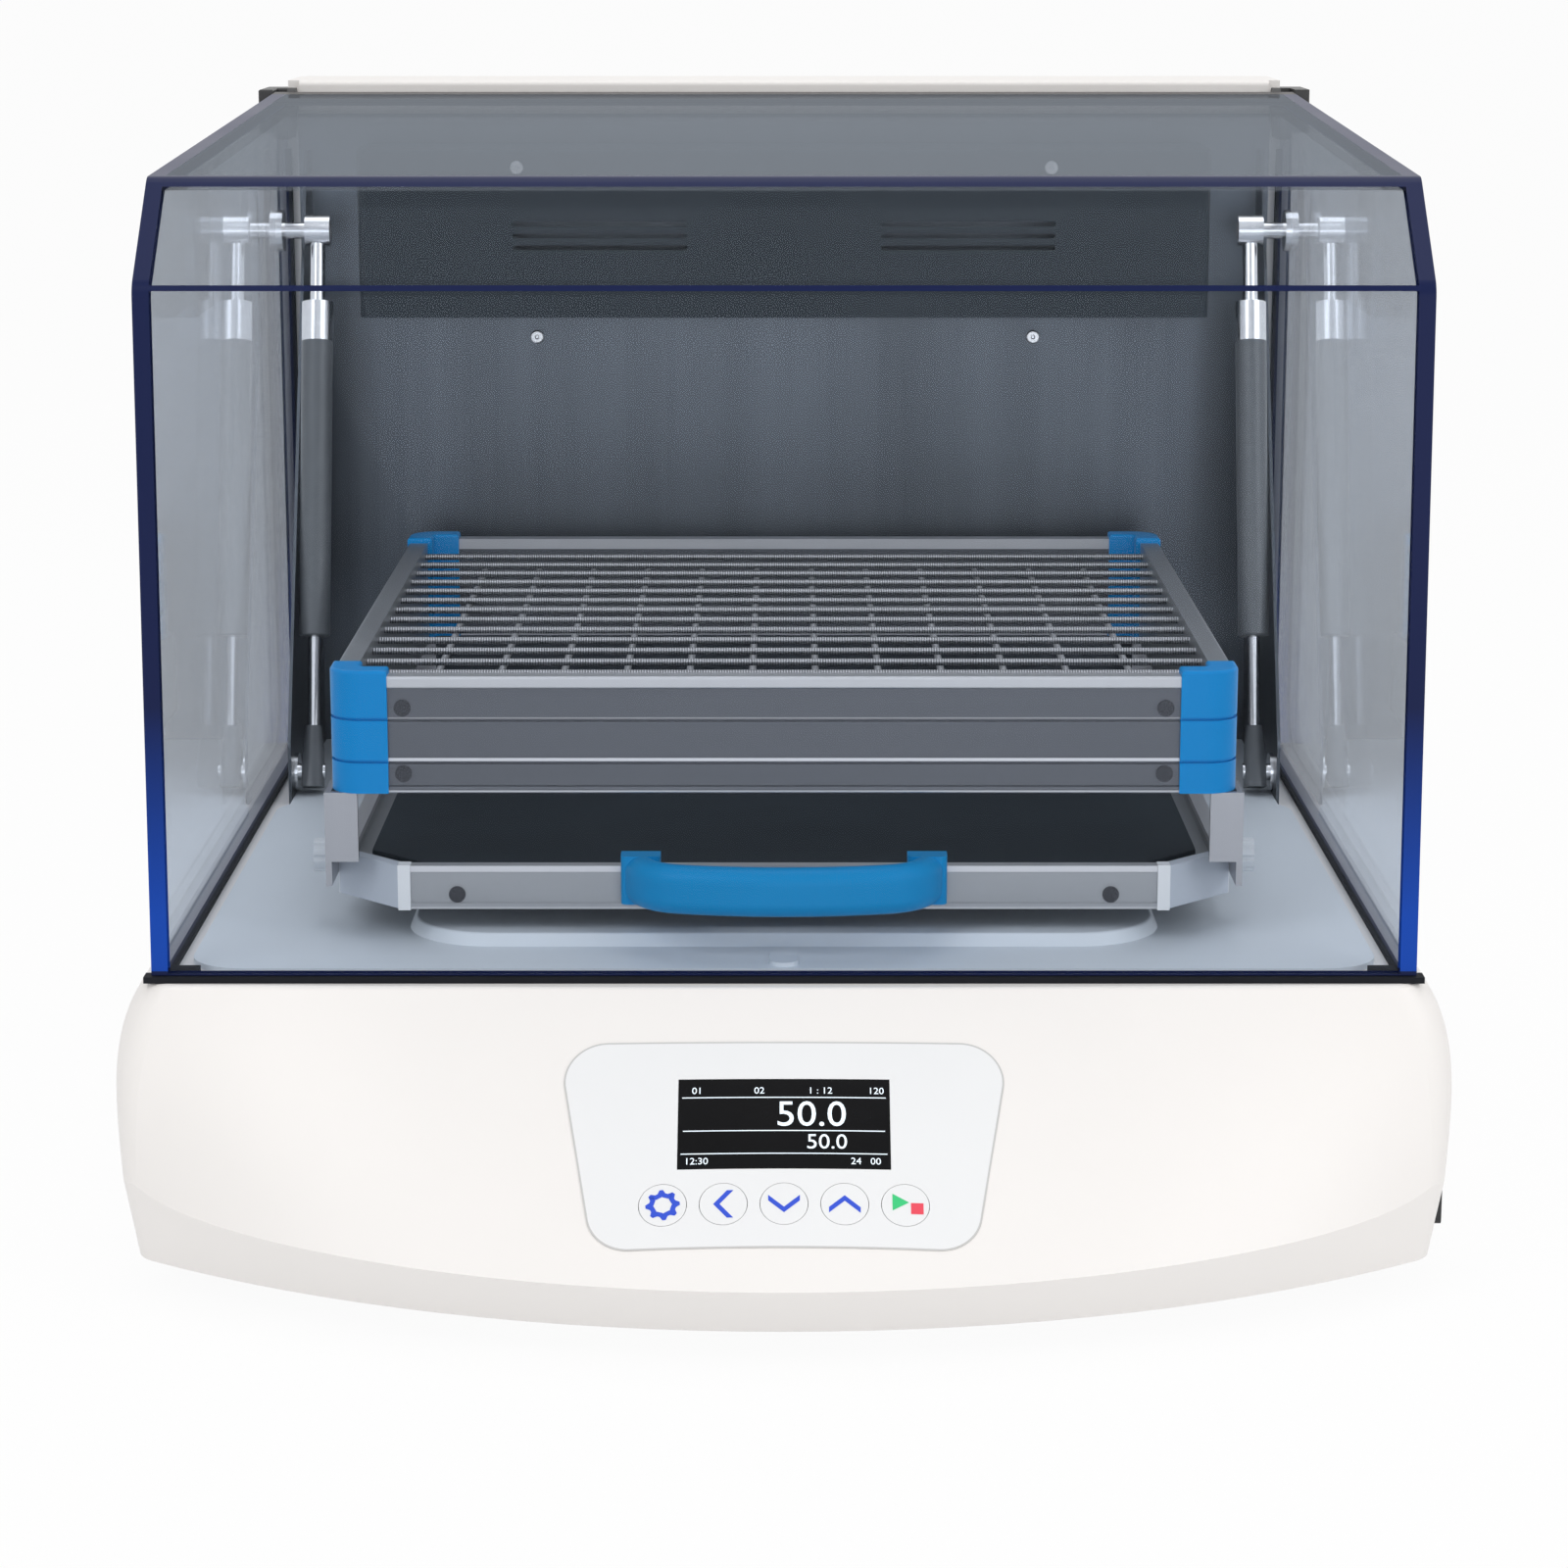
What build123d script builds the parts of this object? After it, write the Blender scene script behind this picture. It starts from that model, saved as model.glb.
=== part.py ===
from build123d import *
from math import atan2, cos, degrees, hypot, radians, sin
import os

# Shaker incubator: a bench top orbital shaker in a heated chamber under a tilting clear hood.
# Units are millimetres. X runs to the right, Y to the back, Z up, with the origin at the
# bottom centre. Most depths are given from the front edge of the hood and most heights from
# the deck, the flat top of the base, through back() and above().

# Clearances
seat_gap = 0.3          # between pieces that move against each other or seals that just miss
bearing_gap = 0.03      # radial gap of a journal in its bearing
slip_gap = 0.2          # radial gap where one piece drops into another
key_gap = 0.25          # around a key in the fascia

# Base
foot_height = 14.0
foot_radius = 17.0
foot_inset = 45.0       # foot centre in from the sides and the back of the base
foot_inset_front = 18.0         # behind the front of the hood
base_height = 110.0
base_wall = 3.5
base_half_width = 265.0         # at its widest, a little below the deck
shoulder_drop = 32.0            # the widest level, below the deck
shoulder_inset = 11.0           # the deck edge is this much narrower
side_draft = 4.5                # the sides come in this much from the shoulder to the bottom
deck_front = 8.0                # the deck edge stands this far in front of the hood, at the centre
deck_front_corner = 4.0         # and this far at the corners
fascia_slope = 1.166            # forward run of the fascia for each unit of drop, at the centre
fascia_corner_slope = 0.17      # the same at the corners
tuck_front = 97.0               # bottom edge in front of the hood, at the centre
tuck_front_corner = 12.0
tuck_slope = 0.714              # the lower band comes forward this much for each unit of rise
tuck_corner_slope = 0.116
tuck_side_inset = 7.5           # bottom edge in from the widest level
tuck_side_slope = 0.15
base_corner_radius = 16.0
deck_edge_radius = 2.5
housing_depth = 69.0            # back of the instrument, behind the liner's face
liner_depth = 461.0             # front face of the back liner, behind the front of the hood
base_reach = liner_depth + housing_depth
bottom_plate_thickness = 2.0
bottom_vent_length = 60.0
bottom_vent_width = 4.0

deck = foot_height + base_height
crease_drop = ((tuck_front + tuck_slope * base_height - deck_front)
               / (fascia_slope + tuck_slope))
nose_reach = deck_front + fascia_slope * crease_drop
hood_front = (nose_reach - base_reach) / 2


def back(distance):
    """Y of a point this far behind the front edge of the hood."""
    return hood_front + distance


def above(height):
    """Z of a point this far above the deck."""
    return deck + height


# Hood
hood_inset = 15.0               # side of the hood in from the widest level of the base
hood_half_width = base_half_width - hood_inset
hood_rear_gap = 2.5             # between the hood's rear edge and the liner's plane
hood_reach = liner_depth - hood_rear_gap
hood_front_height = 270.0
hood_front_lean = 10.0
hood_slant_rise = 39.0
hood_slant_run = 46.0
hood_top_rise = 16.0
sheet = 5.5
hood_bend_radius = 9.0
hood_rear_corner_radius = 25.0
seal_height = 2.5
seal_width = 7.5
seal_overhang = 3.0             # the front strip shows this far outside the hood
seal_lip = 2.0                  # the front strip lies this far in front of the hood
seal_pad = 17.0
seal_top_drop = 27.8            # the side strips end this far below the hood's rear edge
hood_open_angle = 70.0
hood_floor = seal_height + seat_gap
hood_rear_height = hood_floor + hood_front_height + hood_slant_rise + hood_top_rise
seal_top = hood_rear_height - seal_top_drop

# Hinge of the hood
hinge_setback = 4.5             # hinge axis behind the liner's plane
hinge_depth = liner_depth + hinge_setback
hinge_height = hood_rear_height - 4.5
hinge_pin_radius = 3.0
hinge_ear_radius = 6.3
hinge_plate_thickness = 4.0
hinge_plate_length = 33.0
hinge_plate_height = 14.5
hinge_neck_height = 10.5
hinge_block_depth = 36.0
hinge_block_height = 21.0
hinge_block_half_width = hood_half_width + 8.0
cheek_face = hood_half_width + 0.8              # inner face of the block's cheek
notch_inner = hood_half_width - 10.5            # inner side of the notch for the hinge plate

# Rear housing and liner
liner_thickness = 1.5
liner_half_width = hood_half_width - 10.5
liner_top = hood_rear_height - 10.8
flange_face = hood_half_width - 16.5            # inner face of the liner's side flanges
flange_foot_depth = liner_depth - 141.0
flange_foot_height = 30.0
flange_top_depth = liner_depth - 15.0
flange_top_height = liner_top - 17.0
housing_half_width = hood_half_width - 4.5
housing_top = hood_rear_height + 5.0
housing_wall = 3.0
housing_radius = 7.0
housing_front = liner_depth + liner_thickness
housing_lower_half_width = hood_half_width + 0.5
housing_shoulder = hinge_height - 15.3          # narrower above, and back from the hood
housing_step = liner_depth + 8.0
cover_thickness = 3.0
louvre_length = 110.0
louvre_width = 3.5
louvre_pitch = 9.0
louvre_count = 6

# Air duct, fan and heater
duct_half_width = hood_half_width - 45.0
duct_depth = 61.0
duct_front = liner_depth - duct_depth
duct_height = 80.0
duct_top = liner_top - 14.2
duct_bottom = duct_top - duct_height
duct_sheet = 1.2
duct_radius = 6.0
duct_outlet_width = 22.0
vent_offset = duct_half_width - 116.5           # centre of each slot group from the middle
vent_length = 84.0
vent_width = 2.4
vent_pitch = 5.6
vent_count = 3
vent_top = duct_top - 35.2
fan_height = duct_bottom + duct_height / 2
fan_radius = 33.0
fan_blade_count = 9
fan_blade_angle = 35.0
fan_depth = 26.0
fan_plate = 1.5
fan_hub_radius = 9.0
fan_back_gap = 3.0
fan_shaft_radius = 4.0
fan_motor_radius = 28.0
fan_motor_length = 34.0
heater_rod_radius = 3.2
heater_bend = 12.0
heater_height = duct_bottom + 22.2
heater_inner = 60.0
heater_outer = duct_half_width - 25.0
heater_depth = 38.0
probe_offset = 44.0
probe_height = duct_top - 12.8
probe_radius = 2.0
probe_length = 40.0

# Chamber floor
floor_half_width = hood_half_width - 12.0
floor_front = 12.0
floor_narrow_depth = flange_foot_depth - 2.0    # behind this it fits between the flanges
floor_sheet = 2.5
deck_opening_half_width = floor_half_width - 16.0
deck_opening_front = 24.0
deck_opening_back = liner_depth - 15.0
deck_opening_radius = 20.0
plateau_half_width = hood_half_width - 95.0
plateau_front = 46.0
plateau_back = liner_depth - 21.0
plateau_rise = 5.0
plateau_radius = 36.0
floor_radius = 22.0
floor_tab_length = 22.0
floor_tab_width = 12.0
floor_tab_rise = 1.5
shaft_relief = 1.0              # radial room where a shaft passes through sheet

# Platform
platform_side_room = 60.5       # between the platform and the hood's inner face
platform_width = 2 * (hood_half_width - sheet - platform_side_room)
platform_front = 52.0           # with the cranks at their foremost
platform_rear_room = 37.0       # with the cranks at their foremost
platform_depth = liner_depth - platform_front - platform_rear_room
carrier_half_width = platform_width / 2 - 34.0
carrier_half_depth = platform_depth / 2 - 46.0
carrier_sheet = 4.0
carrier_radius = 20.0
bearing_ring = 5.0
bearing_ring_height = 11.0
tray_bottom = 16.8
tray_rail_height = 18.0
tray_rail_thickness = 6.0
tray_sheet = 2.0
tray_plate_drop = 6.0           # top of the tray plate below the top of its rails
tray_corner = 27.0
tray_cap = 5.0                  # length of the end cap between a rail and a corner block
tray_cap_lip = 0.8
rail_relief = 0.8               # the rail's face lies this far behind its beads
rail_bead = 2.5
mat_thickness = 2.0
mat_margin = 12.0
mat_chamfer = 34.0

# Orbit drive
orbit_radius = 10.0
crank_disc_height = 4.0
crank_gap = 0.6
spindle_radius = 10.0
spindle_pin_radius = 7.5
spindle_disc_radius = 24.0
idler_radius = 7.0
idler_pin_radius = 6.0
idler_disc_radius = 20.0
spindle_behind_centre = carrier_half_depth - 45.0
idler_half_spacing = carrier_half_width - 35.0
idler_before_centre = carrier_half_depth - 55.0
housing_flange_width = 22.0
housing_flange_height = 5.0
bearing_barrel_wall = 12.0
bearing_barrel_length = 38.0
pulley_gap = 4.0
driven_pulley_radius = 55.0
motor_pulley_radius = 18.0
pulley_width = 14.0
pulley_web = 5.0
pulley_rim = 7.0
belt_thickness = 2.4
belt_width = 10.0
motor_offset = 140.0            # motor axis to the left of the spindle
motor_radius = 38.0
motor_length = 39.0
motor_flange = 4.0
motor_shaft_radius = 5.0

# Handle
handle_half_span = 58.0
handle_reach = 24.0             # centre of the grip in front of the tray rail
handle_height = 20.0
handle_thickness = 13.0
handle_middle = 31.0
handle_bow_half = 42.0
handle_bulge = 5.0
handle_foot_radius = 8.0
handle_foot_length = 10.0

# Clamp frame
clamp_bottom = 64.8
clamp_rail_height = 48.0
clamp_rail_thickness = 9.0
clamp_bead = 1.2
clamp_top_bead_height = 5.0
clamp_bottom_bead_height = 3.0
clamp_groove = 1.2
clamp_upper_groove = 30.0
clamp_lower_groove = 12.5
clamp_corner = 24.0
clamp_corner_radius = 13.0
clamp_corner_rise = 2.5
clamp_corner_wall = 12.0
clamp_screw_high = 35.0         # above the bottom of the rail
clamp_screw_low = 8.0
screw_inset = 6.0
tray_screw_offset = platform_width / 2 - 51.0
post_sheet = 2.5
post_front_width = 11.0
post_side_width = 44.0
post_front_foot = 36.0          # lower end of the front leg, above the tray's corner block
post_setback = 2.0              # the posts stand this far behind the platform's front and rear
post_foot = 26.0                # lower end of the post's side leg
knob_depth = 36.0               # knob axis behind the front of the platform
knob_height = 31.0
knob_radius = 7.0
knob_length = 8.0
knob_stem_radius = 2.5
knob_stem_length = 8.0
knob_flute_count = 8
knob_flute_radius = 1.8
wire_radius = 1.5
cross_wire_count = 13
long_wire_count = 12
cross_wire_drop = 5.0           # below the top of the rails
long_wire_drop = 16.0
screw_head_radius = 3.4
screw_head_height = 0.8

# Gas struts
strut_plane = flange_face - 8.5
strut_base_depth = flange_foot_depth + 15.0
strut_base_height = 12.8
strut_top_depth = liner_depth - 50.0
strut_top_height = hood_rear_height - 64.0
strut_tube_radius = 7.5
strut_rod_radius = 3.0
strut_piston_radius = 6.2
strut_tube_bore = 6.5
strut_tube_start = 65.0         # along the strut, from its lower stud
strut_cap_length = 19.0
strut_neck_length = 35.2537      # from the cap to the hood's stud
strut_piston_room = 40.0        # from the piston to the end of the tube, hood shut
strut_eye_radius = 7.5
strut_eye_half_width = 6.0
strut_neck_radius = 3.5
strut_guide_length = 8.0
strut_socket_radius = 7.5
strut_socket_length = 22.0
strut_socket_half = 5.0         # half the socket's width along its stud
stud_radius = 4.0
stud_flange_radius = 9.0
stud_flange = 2.0
hood_stud_flange_radius = 10.0
hood_stud_flange = 3.0

# Control panel, placed down the fascia from the deck edge
film = 0.6
film_gap = 0.1                  # glue line under the film
overlay_top = 25.6
overlay_bottom = 117.7
overlay_top_half = 88.4
overlay_bottom_half = 72.5
overlay_radius = 17.0
window_top = 42.9
window_bottom = 83.0
window_half_width = 40.6
window_depth = 8.0
key_row = 98.6
key_pitch = 23.0
key_radius = 9.0
key_length = 13.5
key_names = ("key_menu", "key_left", "key_down", "key_up", "key_run")
board_depth = 14.4
board_half_width = 70.0
board_half_height = 40.0
board_thickness = 1.6
board_post_radius = 4.0
display_module_margin = 4.0

# Switch, inlet and supply
switch_depth = 13.0
switch_drop = 85.5
switch_height = 31.0
switch_width = 24.0
switch_frame = 2.4
switch_face = base_half_width - 1.5
switch_body = 14.0
switch_back = 8.0
rocker_tilt = 7.0
rocker_thickness = 7.0
rocker_pivot = switch_face - 5.5
rocker_end_gap = 0.9
inlet_offset = -150.0
inlet_height = 34.0
inlet_width = 28.0
inlet_tall = 21.0
inlet_length = 24.0
inlet_socket_width = 24.5
inlet_socket_tall = 17.0
inlet_socket_depth = 16.0
supply_size = (120.0, 70.0, 38.0)
supply_offset = 120.0
supply_depth = base_reach - 110.0

os.makedirs("parts", exist_ok=True)


def finish(builder, name):
    """Label a finished piece and write it to its own file."""
    builder.part.label = name
    export_step(builder.part, f"parts/{name}.step")


# Base form: two lofts that meet in the crease between fascia and lower band.
def base_outline(drop, half_width, front, front_corner, inset):
    """Plan outline of the base at one level, with a bowed front."""
    half = half_width - inset
    rear = back(base_reach) - inset
    with BuildSketch(Plane.XY.offset(above(-drop))) as outline:
        with BuildLine():
            bow = ThreePointArc((-half, back(-front_corner) + inset), (0, back(-front) + inset),
                                (half, back(-front_corner) + inset))
            Polyline(bow @ 1, (half, rear), (-half, rear), bow @ 0)
        make_face()
        fillet(outline.vertices(), base_corner_radius - inset)
    return outline.sketch


def base_form(inset):
    """The moulded form of the base, drawn in by inset or grown where inset is negative."""
    with BuildPart(mode=Mode.PRIVATE) as form:
        for drop in (0.0, shoulder_drop * 0.4, shoulder_drop, base_height * 0.7, base_height):
            shoulder = max(0.0, 1 - drop / shoulder_drop)
            draft = max(0.0, (drop - shoulder_drop) / (base_height - shoulder_drop))
            half_width = base_half_width - shoulder_inset * shoulder ** 2 - side_draft * draft
            add(base_outline(drop, half_width, deck_front + fascia_slope * drop,
                             deck_front_corner + fascia_corner_slope * drop, inset))
        loft()
        for drop in (0.0, base_height):
            rise = base_height - drop
            half_width = base_half_width - tuck_side_inset + tuck_side_slope * rise
            add(base_outline(drop, half_width, tuck_front + tuck_slope * rise,
                             tuck_front_corner + tuck_corner_slope * rise, inset))
        loft(ruled=True, mode=Mode.INTERSECT)
    return form.part


fascia_run = Vector(0, -fascia_slope, -1).normalized()
fascia_normal = Vector(0, -1, fascia_slope).normalized()
fascia_plane = Plane(origin=(0, back(-deck_front), deck), x_dir=(1, 0, 0), z_dir=fascia_normal)

outer_form = base_form(0)
inner_form = base_form(base_wall)
seat_form = base_form(-film_gap)
film_form = base_form(-film)

key_places = [(key_pitch * (i - (len(key_names) - 1) / 2), -key_row) for i in range(len(key_names))]
board_middle = (0, -(overlay_top + overlay_bottom) / 2)
window_middle = (0, -(window_top + window_bottom) / 2)
board_posts = GridLocations(2 * board_half_width - 14, 2 * board_half_height - 14, 2, 2).locations
switch_plane = Plane(origin=(switch_face, back(switch_depth), above(-switch_drop)),
                     x_dir=(0, 1, 0), z_dir=(1, 0, 0))
inlet_plane = Plane(origin=(inlet_offset, back(base_reach), inlet_height), x_dir=(-1, 0, 0),
                    z_dir=(0, 1, 0))


def across(x):
    """A plane across the width, with its own x running back and its own y up."""
    return Plane(origin=(x, 0, 0), x_dir=(0, 1, 0), z_dir=(1, 0, 0))


def facing(distance):
    """An upright plane this far behind the hood's front, with its own normal running back."""
    return Plane(origin=(0, back(distance), 0), x_dir=(-1, 0, 0), z_dir=(0, 1, 0))


def level(height):
    """A level plane this far above the deck."""
    return Plane.XY.offset(above(height))


def span(front, rear):
    """Y of the middle between two depths."""
    return back((front + rear) / 2)


# Base
with BuildPart() as base_hollow:
    add(inner_form)
    with BuildSketch(level(-base_wall)):
        Rectangle(4 * base_half_width, 4 * base_reach)
    extrude(amount=2 * base_wall, mode=Mode.SUBTRACT)
    with BuildSketch(fascia_plane.offset(-board_depth)):
        with Locations(board_middle):
            with Locations(board_posts):
                Circle(board_post_radius)
    extrude(amount=2 * board_depth, mode=Mode.SUBTRACT)

with BuildPart() as base_cover:
    add(outer_form)
    fillet(base_cover.faces().sort_by(Axis.Z)[-1].edges(), deck_edge_radius)
    add(base_hollow.part, mode=Mode.SUBTRACT)
    with BuildSketch(level(-2 * base_wall)):
        with Locations((0, span(deck_opening_front, deck_opening_back))):
            RectangleRounded(2 * deck_opening_half_width, deck_opening_back - deck_opening_front,
                             deck_opening_radius)
    extrude(amount=3 * base_wall, mode=Mode.SUBTRACT)
    with BuildSketch(fascia_plane.offset(-window_depth)):
        with Locations(window_middle):
            Rectangle(2 * window_half_width + 2 * slip_gap, window_bottom - window_top + 2 * slip_gap)
        with Locations(key_places):
            Circle(key_radius + key_gap)
    extrude(amount=3 * window_depth, mode=Mode.SUBTRACT)
    with BuildSketch(switch_plane):
        Rectangle(switch_width + 2 * slip_gap, switch_height + 2 * slip_gap)
    extrude(amount=-4 * base_wall, mode=Mode.SUBTRACT)
    with BuildSketch(inlet_plane):
        Rectangle(inlet_width + 2 * slip_gap, inlet_tall + 2 * slip_gap)
    extrude(amount=-2 * base_wall, mode=Mode.SUBTRACT)
finish(base_cover, "base_cover")

with BuildPart() as bottom_plate:
    add(base_outline(base_height, base_half_width - tuck_side_inset, tuck_front, tuck_front_corner,
                     base_wall + seat_gap))
    extrude(amount=bottom_plate_thickness, dir=(0, 0, 1))
    with BuildSketch(Plane.XY.offset(foot_height)):
        with GridLocations(bottom_vent_length + 20, 3 * bottom_vent_width, 3, 6):
            SlotOverall(bottom_vent_length, bottom_vent_width)
    extrude(amount=bottom_plate_thickness, mode=Mode.SUBTRACT)
finish(bottom_plate, "bottom_plate")

with BuildPart() as feet:
    with Locations((0, span(foot_inset_front, base_reach - foot_inset), 0)):
        with GridLocations(2 * (base_half_width - foot_inset),
                           base_reach - foot_inset - foot_inset_front, 2, 2):
            Cone(foot_radius - 2.5, foot_radius, foot_height,
                 align=(Align.CENTER, Align.CENTER, Align.MIN))
    with Locations((0, span(foot_inset_front, base_reach - foot_inset), 0)):
        with GridLocations(2 * (base_half_width - foot_inset),
                           base_reach - foot_inset - foot_inset_front, 2, 2):
            Cylinder(foot_radius / 3, foot_height / 2, mode=Mode.SUBTRACT)
finish(feet, "feet")

# Control panel
with BuildPart() as control_overlay:
    add(film_form)
    add(seat_form, mode=Mode.SUBTRACT)
    with BuildSketch(fascia_plane):
        with BuildLine():
            Polyline((-overlay_top_half, -overlay_top), (overlay_top_half, -overlay_top),
                     (overlay_bottom_half, -overlay_bottom), (-overlay_bottom_half, -overlay_bottom),
                     close=True)
        make_face()
        fillet(vertices(), overlay_radius)
        with Locations(window_middle):
            Rectangle(2 * window_half_width + 2 * slip_gap,
                      window_bottom - window_top + 2 * slip_gap, mode=Mode.SUBTRACT)
        with Locations(key_places):
            Circle(key_radius + key_gap, mode=Mode.SUBTRACT)
    extrude(amount=overlay_bottom, both=True, mode=Mode.INTERSECT)
finish(control_overlay, "control_overlay")

with BuildPart() as display_window:
    add(film_form)
    with BuildSketch(fascia_plane.offset(-window_depth)):
        with Locations(window_middle):
            Rectangle(2 * window_half_width, window_bottom - window_top)
    extrude(amount=3 * window_depth, mode=Mode.INTERSECT)
finish(display_window, "display_window")

for key_name, key_place in zip(key_names, key_places):
    with BuildPart() as key:
        add(film_form)
        with BuildSketch(fascia_plane.offset(-key_length)):
            with Locations(key_place):
                Circle(key_radius)
        extrude(amount=2 * key_length, mode=Mode.INTERSECT)
    finish(key, key_name)

with BuildPart() as control_board:
    with BuildSketch(fascia_plane.offset(-board_depth)):
        with Locations(board_middle):
            Rectangle(2 * board_half_width, 2 * board_half_height)
    extrude(amount=-board_thickness)
    with BuildSketch(fascia_plane.offset(-board_depth)):
        with Locations(window_middle):
            Rectangle(2 * window_half_width - 2 * display_module_margin,
                      window_bottom - window_top - 2 * display_module_margin)
    extrude(amount=board_depth - window_depth - seat_gap)
finish(control_board, "control_board")

with BuildPart() as switch_bezel:
    with BuildSketch(switch_plane):
        RectangleRounded(switch_width, switch_height, switch_frame)
    extrude(amount=-switch_body - switch_back)
    with BuildSketch(switch_plane):
        Rectangle(switch_width - 2 * switch_frame, switch_height - 2 * switch_frame)
    extrude(amount=-switch_body, mode=Mode.SUBTRACT)
finish(switch_bezel, "switch_bezel")

rocker_half = switch_height / 2 - switch_frame - rocker_end_gap
with BuildPart() as rocker_switch:
    with BuildSketch(Plane(origin=(rocker_pivot, back(switch_depth), above(-switch_drop)),
                           x_dir=Vector(1, 0, 0).rotate(Axis.Y, rocker_tilt), z_dir=(0, -1, 0))):
        with BuildLine():
            crown = rocker_half * sin(radians(rocker_tilt))
            Polyline((rocker_thickness / 2 + crown, -rocker_half), (rocker_thickness / 2, 0),
                     (rocker_thickness / 2 + crown, rocker_half), (-rocker_thickness / 2, rocker_half / 2),
                     (-rocker_thickness / 2, -rocker_half / 2), close=True)
        make_face()
    extrude(amount=switch_width / 2 - switch_frame - seat_gap, both=True)
finish(rocker_switch, "rocker_switch")

with BuildPart() as power_inlet:
    with BuildSketch(inlet_plane):
        RectangleRounded(inlet_width, inlet_tall, 2)
    extrude(amount=-inlet_length)
    with BuildSketch(inlet_plane):
        Rectangle(inlet_socket_width, inlet_socket_tall)
    extrude(amount=-inlet_socket_depth, mode=Mode.SUBTRACT)
    with BuildSketch(inlet_plane.offset(-inlet_socket_depth)):
        with Locations((-7, -2), (0, 2), (7, -2)):
            Rectangle(2, 4)
    extrude(amount=inlet_socket_depth - 4)
finish(power_inlet, "power_inlet")

with BuildPart() as power_supply:
    with Locations((supply_offset, back(supply_depth), foot_height + bottom_plate_thickness)):
        Box(*supply_size, align=(Align.CENTER, Align.CENTER, Align.MIN))
    fillet(power_supply.edges().filter_by(Axis.Z), 3)
finish(power_supply, "power_supply")

# Chamber floor, with a raised plateau for the platform and the shafts passing through
orbit_depth = platform_front + platform_depth / 2 + orbit_radius
spindle_place = (0.0, back(orbit_depth + spindle_behind_centre))
idler_places = [(side * idler_half_spacing, back(orbit_depth - idler_before_centre))
                for side in (-1, 1)]
motor_place = (spindle_place[0] - motor_offset, spindle_place[1])

with BuildPart() as chamber_floor:
    with BuildSketch(level(0)):
        with Locations((0, span(floor_front, floor_narrow_depth))):
            RectangleRounded(2 * floor_half_width, floor_narrow_depth - floor_front, floor_radius)
        with Locations((0, span(floor_narrow_depth / 2, liner_depth - seat_gap))):
            Rectangle(2 * (flange_face - seat_gap), liner_depth - seat_gap - floor_narrow_depth / 2)
    extrude(amount=floor_sheet)
    with BuildSketch(level(floor_sheet)):
        with Locations((0, span(plateau_front, plateau_back))):
            RectangleRounded(2 * plateau_half_width, plateau_back - plateau_front, plateau_radius)
    extrude(amount=plateau_rise, taper=30)
    fillet(chamber_floor.faces().sort_by(Axis.Z)[-1].edges(), 1.5)
    with BuildSketch(level(floor_sheet)):
        with Locations((0, back(floor_front + floor_tab_length / 2 + 2))):
            SlotOverall(floor_tab_length, floor_tab_width, rotation=90)
    extrude(amount=floor_tab_rise, taper=20)
    with BuildSketch(level(0)):
        with Locations(spindle_place):
            Circle(spindle_radius + shaft_relief)
        with Locations(idler_places):
            Circle(idler_radius + shaft_relief)
    extrude(amount=2 * plateau_rise, mode=Mode.SUBTRACT)
finish(chamber_floor, "chamber_floor")

# Seal of the hood: a front strip, two side strips that turn up the housing, and two pads
with BuildPart() as hood_seal:
    with BuildSketch(level(0)):
        with Locations((0, span(-seal_lip, seal_width - seal_lip))):
            Rectangle(2 * (hood_half_width + seal_overhang), seal_width)
        with Locations((hood_half_width - seal_pad / 2, span(seal_width - seal_lip, seal_pad)),
                       (seal_pad / 2 - hood_half_width, span(seal_width - seal_lip, seal_pad))):
            Rectangle(seal_pad, seal_pad - seal_width + seal_lip)
    extrude(amount=seal_height)
    for side in (-1, 1):
        with BuildSketch(across(side * (hood_half_width - seal_width / 2 + 0.5))) as strip:
            with Locations((span(seal_pad, housing_front), above(seal_top / 2))):
                Rectangle(housing_front - seal_pad, seal_top)
            with BuildSketch(mode=Mode.SUBTRACT):
                with Locations((back((hood_reach + seat_gap) / 2), above(seal_height + hood_front_height))):
                    Rectangle(hood_reach + seat_gap, 2 * hood_front_height)
                fillet(vertices().group_by(Axis.Y)[0].sort_by(Axis.X)[-1],
                       hood_rear_corner_radius + seat_gap)
        extrude(amount=seal_width / 2, both=True)
finish(hood_seal, "hood_seal")

# Back liner with sloping side flanges that carry the lower studs of the struts
with BuildPart() as back_liner:
    with BuildSketch(facing(liner_depth)):
        with Locations((0, above(liner_top / 2))):
            Rectangle(2 * liner_half_width, liner_top)
        with Locations((0, above(fan_height))):
            Circle(fan_shaft_radius + shaft_relief, mode=Mode.SUBTRACT)
    extrude(amount=liner_thickness)
    for inner_face in (flange_face, -flange_face - liner_thickness):
        with BuildSketch(across(inner_face)):
            with BuildLine():
                Polyline((back(flange_foot_depth), above(0)),
                         (back(flange_foot_depth), above(flange_foot_height)),
                         (back(flange_top_depth), above(flange_top_height)),
                         (back(liner_depth), above(flange_top_height)),
                         (back(liner_depth), above(0)), close=True)
            make_face()
            fillet(vertices().group_by(Axis.X)[0].sort_by(Axis.Y)[-1], 12)
        extrude(amount=liner_thickness)
finish(back_liner, "back_liner")

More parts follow.
